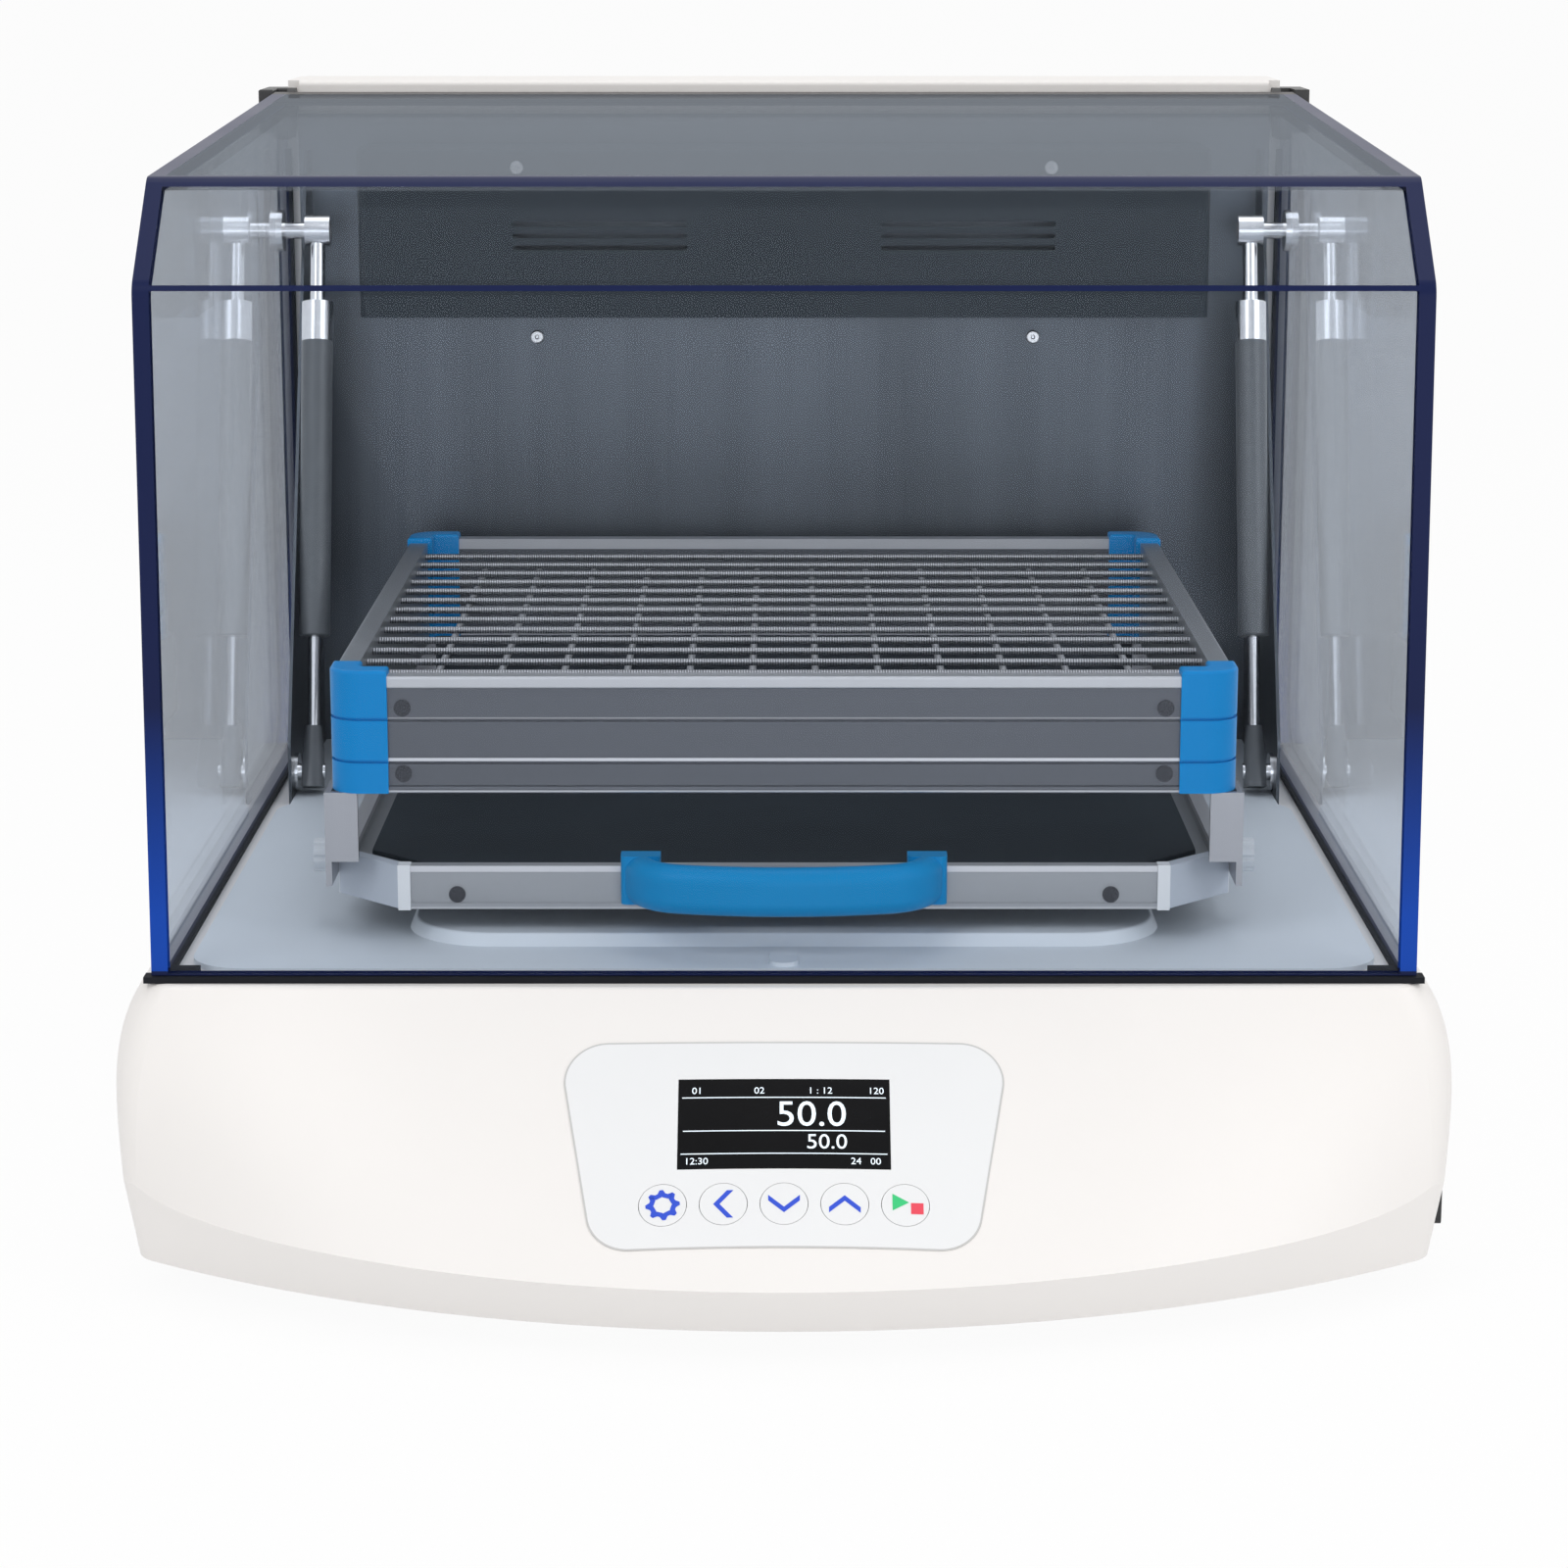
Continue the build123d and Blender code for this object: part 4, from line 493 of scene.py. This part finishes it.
class INCUBATOR_OT_studio(bpy.types.Operator):
    """Floor, backdrop colour, lamps and the camera at the photograph's angle"""

    bl_idname = "incubator.studio"
    bl_label = "Studio"

    def execute(self, context):
        scene = context.scene
        scene.view_settings.view_transform = "Standard"

        clear_selection()
        bpy.ops.mesh.primitive_plane_add(size=120, location=(0, 0, 0))
        floor = lone(context.object, "studio_floor")
        finish = Finish("studio_paper")
        seen = finish.add("LightPath", out="Is Camera Ray")
        mirrored = finish.add("LightPath", out="Is Glossy Ray")
        tone = finish.blend(finish.noise(0.6), (0.86, 0.86, 0.86), (0.9, 0.9, 0.9))
        paper = finish.surface(Base_Color=tone, Roughness=0.9)
        glow = finish.add("Emission", {}, {"Color": (1, 1, 1, 1), "Strength": 1.0})
        share = 0.94 * either(seen, mirrored)
        shade = finish.add("MixShader", {}, {0: share, 1: paper, 2: glow})
        floor.data.materials.append(finish.done(shade))

        world = bpy.data.worlds.new("studio_world")
        scene.world = world
        world.use_nodes = True
        tree = world.node_tree
        tree.nodes.clear()
        path = tree.nodes.new("ShaderNodeLightPath")
        total = tree.nodes.new("ShaderNodeVectorMath")
        total.operation = "LENGTH"
        rays = tree.nodes.new("ShaderNodeCombineXYZ")
        for place, kind in enumerate(("Is Camera Ray", "Is Glossy Ray", "Is Transmission Ray")):
            tree.links.new(path.outputs[kind], rays.inputs[place])
        tree.links.new(rays.outputs[0], total.inputs[0])
        strength = tree.nodes.new("ShaderNodeMapRange")
        strength.inputs["To Min"].default_value = 0.55
        strength.inputs["To Max"].default_value = 0.985
        tree.links.new(total.outputs["Value"], strength.inputs["Value"])
        sky = tree.nodes.new("ShaderNodeBackground")
        sky.inputs["Color"].default_value = (1, 1, 1, 1)
        tree.links.new(strength.outputs["Result"], sky.inputs["Strength"])
        output = tree.nodes.new("ShaderNodeOutputWorld")
        tree.links.new(sky.outputs[0], output.inputs["Surface"])

        aim = Vector((0, 0, 0.2))
        for name, place, width, watts in (("key_lamp", (-1.5, -1.9, 2.3), 1.6, 19),
                                          ("fill_lamp", (1.9, -1.4, 1.7), 1.8, 15),
                                          ("front_lamp", (0.2, -2.6, 0.5), 1.4, 8),
                                          ("top_lamp", (0.1, 0.4, 2.6), 1.8, 13)):
            bpy.ops.object.light_add(type="AREA", location=place)
            lamp = lone(context.object, name)
            lamp.data.shape = "DISK"
            lamp.data.size = width
            lamp.data.energy = watts
            lamp.rotation_euler = (aim - Vector(place)).to_track_quat("-Z", "Y").to_euler()

        pitch = atan(EYE_ABOVE_AIM / FOCAL_LENGTH)
        eye = Vector((0, HOOD_FRONT - EYE_DISTANCE, DECK + EYE_HEIGHT))
        bpy.ops.object.camera_add(location=eye, rotation=(radians(90) - pitch, 0, 0))
        camera = lone(context.object, "photo_camera")
        camera.data.sensor_width = SENSOR
        camera.data.lens = SENSOR * sqrt(FOCAL_LENGTH ** 2 + EYE_ABOVE_AIM ** 2) / PHOTO_SIZE
        camera.data.clip_end = 200
        scene.camera = camera
        return {"FINISHED"}


class INCUBATOR_OT_base(bpy.types.Operator):
    """Finishes of the base, the rear housing, the feet and the plates under and behind them"""

    bl_idname = "incubator.base"
    bl_label = "Base and rear housing"

    def execute(self, context):
        white = tuple(context.scene.chamber_hues.cover)
        dress(["base_cover"], moulded_plastic("white_moulding", white, 0.4, drift=0.012))
        dress(["rear_housing", "rear_cover"], powder_coat("white_powder_coat", white, 0.44))
        dress(["bottom_plate"], spangled_sheet("galvanised_sheet", (0.55, 0.56, 0.57)))
        dress(["feet"], moulded_rubber("foot_rubber", (0.02, 0.02, 0.021)))
        dress(["hinge_blocks", "hood_hinge_plates"],
              moulded_plastic("hinge_moulding", (0.016, 0.016, 0.018), 0.4))
        dress(["hinge_pins", "strut_base_studs", "hood_strut_studs"],
              polished_metal("bright_pins", (0.72, 0.72, 0.73)))
        dress(["power_inlet", "switch_bezel"],
              moulded_plastic("black_moulding", (0.014, 0.014, 0.016), 0.45))
        dress(["rocker_switch"], moulded_plastic("rocker_blue", (0.01, 0.2, 0.5), 0.3, drift=0.02))
        dress(["control_board"], moulded_plastic("circuit_board", (0.01, 0.13, 0.05), 0.4))
        dress(["power_supply"], brushed_metal("supply_case", (0.5, 0.5, 0.51), 1, 0.42))
        return {"FINISHED"}


class INCUBATOR_OT_panel(bpy.types.Operator):
    """Overlay film, display with its figures, and the printed keys"""

    bl_idname = "incubator.panel"
    bl_label = "Control panel"

    def display(self, context):
        """The dark window, with lit figures and rules on it."""
        finish = Finish("display_glass")
        smear = finish.noise(0.012, 3.0)
        tone = finish.blend(smear, (0.0015, 0.0015, 0.002), (0.003, 0.003, 0.004))
        glass = finish.surface(Base_Color=tone, Roughness=0.22 + 0.08 * smear,
                               Specular_IOR_Level=0.1)
        dress(["display_window"], finish.done(glass))
        finish = Finish("lit_figures")
        tone = finish.blend(finish.noise(0.003), (0.75, 0.86, 0.95), (0.85, 0.93, 1.0))
        lit = finish.done(finish.surface(Base_Color=tone, Emission_Color=tone,
                                         Emission_Strength=0.45, Roughness=0.4))
        large = context.scene.fitting_sizes.digit_height
        middle, small = large * 0.58, large * 0.26
        head, foot = 48.2, 79.8
        # Name, text and height, then millimetres to the right and down the slope.
        for name, text, height, right, down in (
                ("display_figure_heat", "50.0", large, 10.5, 59.2),
                ("display_figure_heat_set", "50.0", middle, 16.4, 71.4),
                ("display_figure_program", "01", small, -33.5, head),
                ("display_figure_step", "02", small, -9.5, head),
                ("display_figure_cycle", "1 : 12", small, 14, head),
                ("display_figure_turns", "120", small, 35.5, head),
                ("display_figure_clock", "12:30", small, -33.5, foot),
                ("display_figure_hours", "24", small, 27.5, foot),
                ("display_figure_minutes", "00", small, 35, foot)):
            piece = figures(text, name, height, right * MM, down * MM)
            lay_print(piece, "display_window", lit, "root")
        thin = 0.4 * MM
        for number, (down, width) in enumerate(((51.2, 78.5), (66.2, 77.5), (76.4, 79))):
            clear_selection()
            bpy.ops.mesh.primitive_grid_add(x_subdivisions=16, y_subdivisions=2, size=1)
            rule = lone(context.object, f"display_rule_{number + 1}")
            size = Matrix.Diagonal((width * MM, thin, 1, 1))
            rule.matrix_world = fascia_place(0, down * MM) @ size
            lay_print(rule, "display_window", lit, "root")

    def film(self):
        """Printed film: pale and finely textured, with grey painted shade at its cut edge and in a
        fine outline.
        """
        finish = Finish("overlay_film")

        def along(vector, direction):
            """How far a vector reaches in a direction."""
            return finish.add("VectorMath", {"operation": "DOT_PRODUCT"},
                              {0: vector, 1: direction}, out="Value")

        facing = along(finish.add("NewGeometry", out="True Normal"), FASCIA_NORMAL)
        fine = finish.noise(0.0007)
        cloud = finish.noise(0.05)
        spot = finish.place()
        across = abs(finish.parts(spot)[0])
        step = finish.add("VectorMath", {"operation": "SUBTRACT"}, {0: FASCIA_POINT, 1: spot})
        down = along(step, FASCIA_UP)
        side = (across - FILM_TOP_REACH) * cos(FILM_LEAN) + (down - FILM_TOP) * sin(FILM_LEAN)
        ends = abs(down - FILM_MIDDLE) - FILM_HALF

        def corner(way):
            """The outline around the lower corner, way 1, or the upper one, way -1."""
            lean = way * sin(FILM_LEAN)
            u, v = side + FILM_RADIUS, (down - FILM_MIDDLE) * way - FILM_HALF + FILM_RADIUS
            reach = (u * u + v * v - 2 * lean * (u * v)) * (1 / (1 - lean ** 2))
            beyond = reach > (FILM_RADIUS - FILM_LINE) ** 2
            return (u - lean * v > 0) * (v - lean * u > 0) * beyond

        # Painted shade: a fine grey line inside the film's border, and grey on its cut edge faces.
        line = either(either(side > -FILM_LINE, ends > -FILM_LINE), either(corner(1), corner(-1)))
        cut_edge_shade = (abs(facing) < 0.8) * (across > 60 * MM)     # but not around the display
        pale = finish.blend(cloud, (0.845, 0.85, 0.86), (0.87, 0.875, 0.88))
        tone = finish.blend(either(line, cut_edge_shade), pale, (0.58, 0.575, 0.57))
        return finish.done(finish.surface(Base_Color=tone, Roughness=0.44 + 0.08 * fine,
                                          Normal=finish.bump(fine, 0.00001)))

    def gear(self, name):
        """The settings symbol: a toothed ring."""
        clear_selection()
        bpy.ops.mesh.primitive_circle_add(vertices=32, radius=5.2 * MM, fill_type="NGON")
        piece = lone(bpy.context.object, name)
        pick(piece, lambda v: v.index % 4 in (0, 1), "VERT")
        bpy.ops.transform.resize(value=(1.27, 1.27, 1))
        bpy.ops.mesh.select_mode(type="FACE")
        bpy.ops.mesh.select_all(action="SELECT")
        bpy.ops.mesh.inset(thickness=1.9 * MM, depth=0)
        bpy.ops.mesh.delete(type="FACE")
        bpy.ops.object.mode_set(mode="OBJECT")
        return piece

    def chevron(self, name, turn):
        """An arrow head of two strokes, pointing left until it is turned."""
        stroke, rise, slant = 2.4 * MM, 6.0 * MM, 5.2 * MM
        clear_selection()
        bpy.ops.mesh.primitive_plane_add(size=1)
        piece = lone(bpy.context.object, name)
        piece.scale = (stroke, rise, 1)
        piece.location = (0, rise / 2, 0)
        bpy.ops.object.transform_apply(location=True, rotation=True, scale=True)
        pick(piece, lambda v: v.co.y > rise / 2, "VERT")
        bpy.ops.transform.translate(value=(slant, 0, 0))
        bpy.ops.mesh.select_all(action="DESELECT")
        bpy.ops.object.mode_set(mode="OBJECT")
        half = piece.modifiers.new("lower stroke", "MIRROR")
        half.use_axis = (False, True, False)
        apply_all(piece)
        piece.data.transform(Matrix.Translation((-slant / 2, 0, 0)))
        piece.data.transform(Matrix.Rotation(turn, 4, "Z"))
        return piece

    def execute(self, context):
        dress(["control_overlay", "key_menu", "key_left", "key_down", "key_up", "key_run"],
              self.film())
        self.display(context)
        ink = tuple(context.scene.chamber_hues.print_blue)
        blue = moulded_plastic("key_print_blue", ink, 0.4, drift=0.04)
        green = moulded_plastic("key_print_green", (0.03, 0.6, 0.2), 0.4, drift=0.04)
        red = moulded_plastic("key_print_red", (0.85, 0.06, 0.1), 0.4, drift=0.04)
        # Piece, key and finish, then the key's column, and millimetres right of it and above it.
        symbols = [
            (self.gear("menu_symbol"), "key_menu", blue, -2, 0, 0),
            (self.chevron("left_symbol", 0), "key_left", blue, -1, 0, 0),
            (self.chevron("down_symbol", radians(90)), "key_down", blue, 0, 0, 0),
            (self.chevron("up_symbol", radians(-90)), "key_up", blue, 1, 0, 0),
        ]
        clear_selection()
        bpy.ops.mesh.primitive_circle_add(vertices=3, radius=4.2 * MM, fill_type="NGON")
        start = lone(context.object, "start_symbol")
        start.data.transform(Matrix.Rotation(radians(-90), 4, "Z"))
        symbols.append((start, "key_run", green, 2, -2.8, 1.2))
        clear_selection()
        bpy.ops.mesh.primitive_grid_add(x_subdivisions=3, y_subdivisions=3, size=4.8 * MM)
        symbols.append((lone(context.object, "stop_symbol"), "key_run", red, 2, 4.5, -1.4))
        for piece, key, print_finish, column, right, up in symbols:
            piece.matrix_world = fascia_place(column * KEY_PITCH + right * MM, KEY_ROW - up * MM)
            lay_print(piece, key, print_finish, key)
        return {"FINISHED"}


class INCUBATOR_OT_chamber(bpy.types.Operator):
    """Finishes of the chamber: floor, liner, duct, seal, fan, heater and probe"""

    bl_idname = "incubator.chamber"
    bl_label = "Chamber"

    def screws(self, context):
        """Pan head screws with a round socket, two on the duct and two on the back liner."""
        radius = context.scene.fitting_sizes.screw_radius
        head = 2.2 * MM
        sunk = 0.9 * MM         # the socket, and how far the head's middle stands off the sheet
        steel = polished_metal("panel_screws", (0.62, 0.62, 0.63), 0.22)
        clear_selection()
        bpy.ops.mesh.primitive_cylinder_add(vertices=24, radius=radius, depth=head)
        first = lone(context.object, "panel_screw_1")
        pick(first, lambda f: f.normal.z > 0.9)
        bpy.ops.mesh.bevel(offset=0.7 * MM, segments=3, affect="EDGES")
        bpy.ops.object.mode_set(mode="OBJECT")
        pick(first, lambda f: f.normal.z > 0.98 and f.area > 1e-6)
        bpy.ops.mesh.inset(thickness=radius * 0.45)
        bpy.ops.mesh.extrude_region_move(TRANSFORM_OT_translate={"value": (0, 0, -sunk)})
        bpy.ops.transform.resize(value=(0.6, 0.6, 1))
        bpy.ops.object.mode_set(mode="OBJECT")
        # Millimetres across, behind the hood's front and above the deck: duct, then back liner.
        places = [(-128, 400, 294.5), (128, 400, 294.5), (-123, 461, 207.4), (124, 461, 207.4)]
        shapes = [first.data] + [first.data.copy() for _ in places[1:]]
        for number, (shape, (across, back, up)) in enumerate(zip(shapes, places)):
            name = f"panel_screw_{number + 1}"
            piece = first if number == 0 else bpy.data.objects.new(name, shape)
            if number:
                shape.name = name
                context.collection.objects.link(piece)
            place = Vector((across * MM, HOOD_FRONT + back * MM - sunk, DECK + up * MM))
            piece.matrix_world = Matrix.Translation(place) @ Matrix.Rotation(radians(90), 4, "X")
            settle(piece, steel, "root")

    def execute(self, context):
        dress(["chamber_floor"], moulded_plastic("floor_moulding", (0.74, 0.79, 0.84), 0.45))
        dress(["hood_seal"], moulded_rubber("seal_rubber", (0.007, 0.008, 0.011)))
        dress(["back_liner"],
              brushed_metal("liner_steel", (0.09, 0.1, 0.114), 2, 0.34, 0.25, bands=0.36))
        dress(["duct_cover"], powder_coat("duct_paint", (0.033, 0.042, 0.052), 0.5, 0.00001, 0.2))
        dress(["fan_wheel"], moulded_plastic("fan_moulding", (0.02, 0.02, 0.022), 0.5))
        dress(["fan_motor", "drive_motor"], powder_coat("motor_paint", (0.03, 0.03, 0.033), 0.45))
        dress(["heater_element"], polished_metal("heater_sheath", (0.33, 0.28, 0.25), 0.4))
        dress(["temperature_probe"], polished_metal("probe_steel", (0.7, 0.7, 0.72), 0.2))
        self.screws(context)
        return {"FINISHED"}


class INCUBATOR_OT_hood(bpy.types.Operator):
    """Clear hood, the dark blue of its edges and the seal at its rear"""

    bl_idname = "incubator.hood"
    bl_label = "Hood"

    def execute(self, context):
        dressing = context.scene.hood_finish
        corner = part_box("hood_cover")[1]

        def cover_edges(finish):
            """The sheet's sides, its foot and its two folds, the front fold's band being painted
            shade; the seal under its rear edge.
            """
            across, depth, height = finish.parts(finish.place())

            def fold(line, reach):
                """Within this reach of a fold line."""
                back, up = depth - line[0], height - line[1]
                return (back * back + up * up) < reach ** 2

            side = abs(across) > corner.x - dressing.edge_band
            low = height < DECK + HOOD_FOOT_BAND
            # The front fold is a bend: its dark band is painted shade in the crease.
            folds = either(fold(TOP_FOLD, TOP_FOLD_REACH), fold(FRONT_FOLD, FRONT_FOLD_SHADE_REACH))
            return either(either(side, low), folds), depth > corner.y - dressing.rear_seal

        def side_edges(finish):
            """All around each side panel, with no seal: nothing stands below the floor."""
            normal = finish.parts(finish.add("NewGeometry", out="True Normal"))
            return abs(normal[0]) < 0.5, finish.parts(finish.place())[2] < 0

        dress(["hood_cover"],
              clear_hood("hood_front_sheet", tuple(dressing.top_mirror), cover_edges))
        dress(["hood_sides"],
              clear_hood("hood_side_sheet", tuple(dressing.side_mirror), side_edges))
        return {"FINISHED"}


class INCUBATOR_OT_struts(bpy.types.Operator):
    """Gas struts: black socket and tube, bright rod and cap"""

    bl_idname = "incubator.struts"
    bl_label = "Gas struts"

    def along(self, finish):
        """How far up the strut a point stands, in metres."""
        _, depth, height = finish.parts(finish.place())
        back, up = depth - STRUT_FOOT.y, height - STRUT_FOOT.z
        return back * sin(STRUT_LEAN) + up * cos(STRUT_LEAN)

    def two_tone(self, name, bright_from):
        """Dark paint, and bare bright metal from this distance to the strut's end."""
        finish = Finish(name)
        run = self.along(finish)
        bright = (run > bright_from) * (run < STRUT_END)
        smear = finish.noise(0.004, 3.0)
        tone = finish.blend(bright, finish.blend(smear, (0.1, 0.11, 0.12), (0.14, 0.15, 0.162)),
                            finish.blend(smear, (0.66, 0.67, 0.69), (0.78, 0.78, 0.8)))
        rough = 0.3 - 0.12 * bright + 0.06 * smear
        return finish.done(finish.surface(Base_Color=tone, Metallic=bright, Roughness=rough))

    def execute(self, context):
        dress(["strut_rod_left", "strut_rod_right"],
              self.two_tone("strut_rod_finish", ROD_BARE_FROM))
        dress(["strut_cylinder_left", "strut_cylinder_right"],
              self.two_tone("strut_tube_finish", TUBE_CAP_FROM))
        return {"FINISHED"}


class INCUBATOR_OT_platform(bpy.types.Operator):
    """Finishes of the platform: tray, rails, corners, handle, posts, knobs and the orbit drive"""

    bl_idname = "incubator.platform"
    bl_label = "Platform"

    def corner_plastic(self):
        """Grey chamfered corner blocks whose end caps, beside the rails, are paler."""
        low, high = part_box("tray_corners")
        middle, reach = (low + high) / 2, (high - low) / 2
        finish = Finish("corner_grey")
        place = finish.parts(finish.place())
        cap = either(abs(place[0]) < reach.x - CAP_INSET.x,
                     abs(place[1] - middle.y) < reach.y - CAP_INSET.y)
        cloud = finish.noise(0.03, 3.0)
        fine = finish.noise(0.0004)
        grey = finish.blend(cloud, (0.53, 0.57, 0.63), (0.58, 0.62, 0.68))
        tone = finish.blend(cap, grey, (0.84, 0.85, 0.86))
        return finish.done(finish.surface(Base_Color=tone, Roughness=0.4 + 0.08 * cloud,
                                          Normal=finish.bump(fine, 0.000012)))

    def execute(self, context):
        hues = context.scene.chamber_hues
        grey = (0.35, 0.36, 0.375)
        dark = (0.125, 0.13, 0.145)
        dress(["clamp_rails_cross"], brushed_metal("rail_aluminium_cross", dark, 0, 0.4, 0.12, 0.85,
                                                   CROSS_RAIL_PAINTED_HIGHLIGHTS))
        dress(["clamp_rails_side"], brushed_metal("rail_aluminium_side", grey, 1, 0.4, 0.1, 0.85))
        dress(["tray_rails"], brushed_metal("tray_rail_aluminium", grey, 0, 0.4, 0.1, 0.85,
                                            TRAY_RAIL_PAINTED_HIGHLIGHTS))
        dress(["corner_posts"],
              brushed_metal("post_aluminium", (0.4, 0.4, 0.42), 2, 0.42, 0.1, 0.85))
        dress(["lower_tray", "carrier_plate"],
              brushed_metal("tray_aluminium", (0.34, 0.35, 0.36), 0, 0.44, 0.08, 0.8))
        dress(["tray_mat"], moulded_rubber("tray_mat_rubber", (0.012, 0.017, 0.022), 0.8))
        dress(["tray_corners"], self.corner_plastic())
        for node, name, blue in (("tray_handle", "handle_blue", hues.handle),
                                 ("clamp_corners", "corner_blue", hues.accent)):
            dress([node], moulded_plastic(name, tuple(blue), 0.4, drift=0.04, gloss=0.2))
        dress(["side_knob_left", "side_knob_right"],
              moulded_plastic("knob_white", (0.68, 0.71, 0.74), 0.3, drift=0.02))
        dress(["rail_screws"], polished_metal("rail_screw_steel", (0.07, 0.072, 0.08), 0.24))
        dress(["drive_spindle", "idler_crank_left", "idler_crank_right", "carrier_bearings"],
              polished_metal("ground_steel", (0.66, 0.66, 0.67), 0.24))
        dress(["driven_pulley", "motor_pulley", "bearing_housings"],
              brushed_metal("turned_aluminium", (0.6, 0.6, 0.62), 2, 0.38))
        dress(["drive_belt"], moulded_rubber("belt_rubber", (0.015, 0.015, 0.016)))
        return {"FINISHED"}


class INCUBATOR_OT_wires(bpy.types.Operator):
    """Spring wires of the clamp frame, wound along their length"""

    bl_idname = "incubator.wires"
    bl_label = "Spring wires"

    def wound(self, name, axis):
        """Close wound spring steel: relief for each turn, with painted shade between the turns and
        a painted highlight on each crown.
        """
        finish = Finish(name)
        run = finish.parts(finish.place())[axis]
        turn = (run * (tau / WIRE_TURN)).math("SINE") * 0.5 + 0.5
        smear = finish.noise(0.01, 3.0)
        # Painted shade and highlight: dark between the turns, bright on each crown.
        tone = finish.blend((0.75 * turn + 0.25 * smear).clamped(),
                            (0.13, 0.13, 0.135), (0.6, 0.6, 0.62))
        return finish.done(finish.surface(Base_Color=tone, Metallic=0.9,
                                          Roughness=0.3 + 0.12 * smear,
                                          Normal=finish.bump(turn, 0.0003)))

    def execute(self, context):
        dress(["cross_wires"], self.wound("spring_steel_cross", 0))
        dress(["long_wires"], self.wound("spring_steel_long", 1))
        return {"FINISHED"}


class INCUBATOR_PT_sidebar(bpy.types.Panel):
    """Lists the steps that dress the instrument"""

    bl_idname = "INCUBATOR_PT_sidebar"
    bl_label = "Shaker incubator"
    bl_space_type = "VIEW_3D"
    bl_region_type = "UI"
    bl_category = "Incubator"

    def draw(self, context):
        for holder in GROUPS:
            group = getattr(context.scene, holder)
            for name in group.__annotations__:
                self.layout.prop(group, name)
        for step in STEPS:
            self.layout.operator(step.bl_idname)


GROUPS = {"chamber_hues": ChamberHues, "hood_finish": HoodFinish, "fitting_sizes": FittingSizes}
STEPS = (INCUBATOR_OT_studio, INCUBATOR_OT_base, INCUBATOR_OT_panel, INCUBATOR_OT_chamber,
         INCUBATOR_OT_hood, INCUBATOR_OT_struts, INCUBATOR_OT_platform, INCUBATOR_OT_wires)


def register():
    for name, group in GROUPS.items():
        bpy.utils.register_class(group)
        setattr(bpy.types.Scene, name, bpy.props.PointerProperty(type=group))
    for step in STEPS:
        bpy.utils.register_class(step)
    bpy.utils.register_class(INCUBATOR_PT_sidebar)


def unregister():
    bpy.utils.unregister_class(INCUBATOR_PT_sidebar)
    for step in reversed(STEPS):
        bpy.utils.unregister_class(step)
    for name, group in GROUPS.items():
        delattr(bpy.types.Scene, name)
        bpy.utils.unregister_class(group)


def main():
    register()
    bpy.ops.incubator.studio()
    bpy.ops.incubator.base()
    bpy.ops.incubator.panel()
    bpy.ops.incubator.chamber()
    bpy.ops.incubator.hood()
    bpy.ops.incubator.struts()
    bpy.ops.incubator.platform()
    bpy.ops.incubator.wires()


if __name__ == "__main__":
    main()
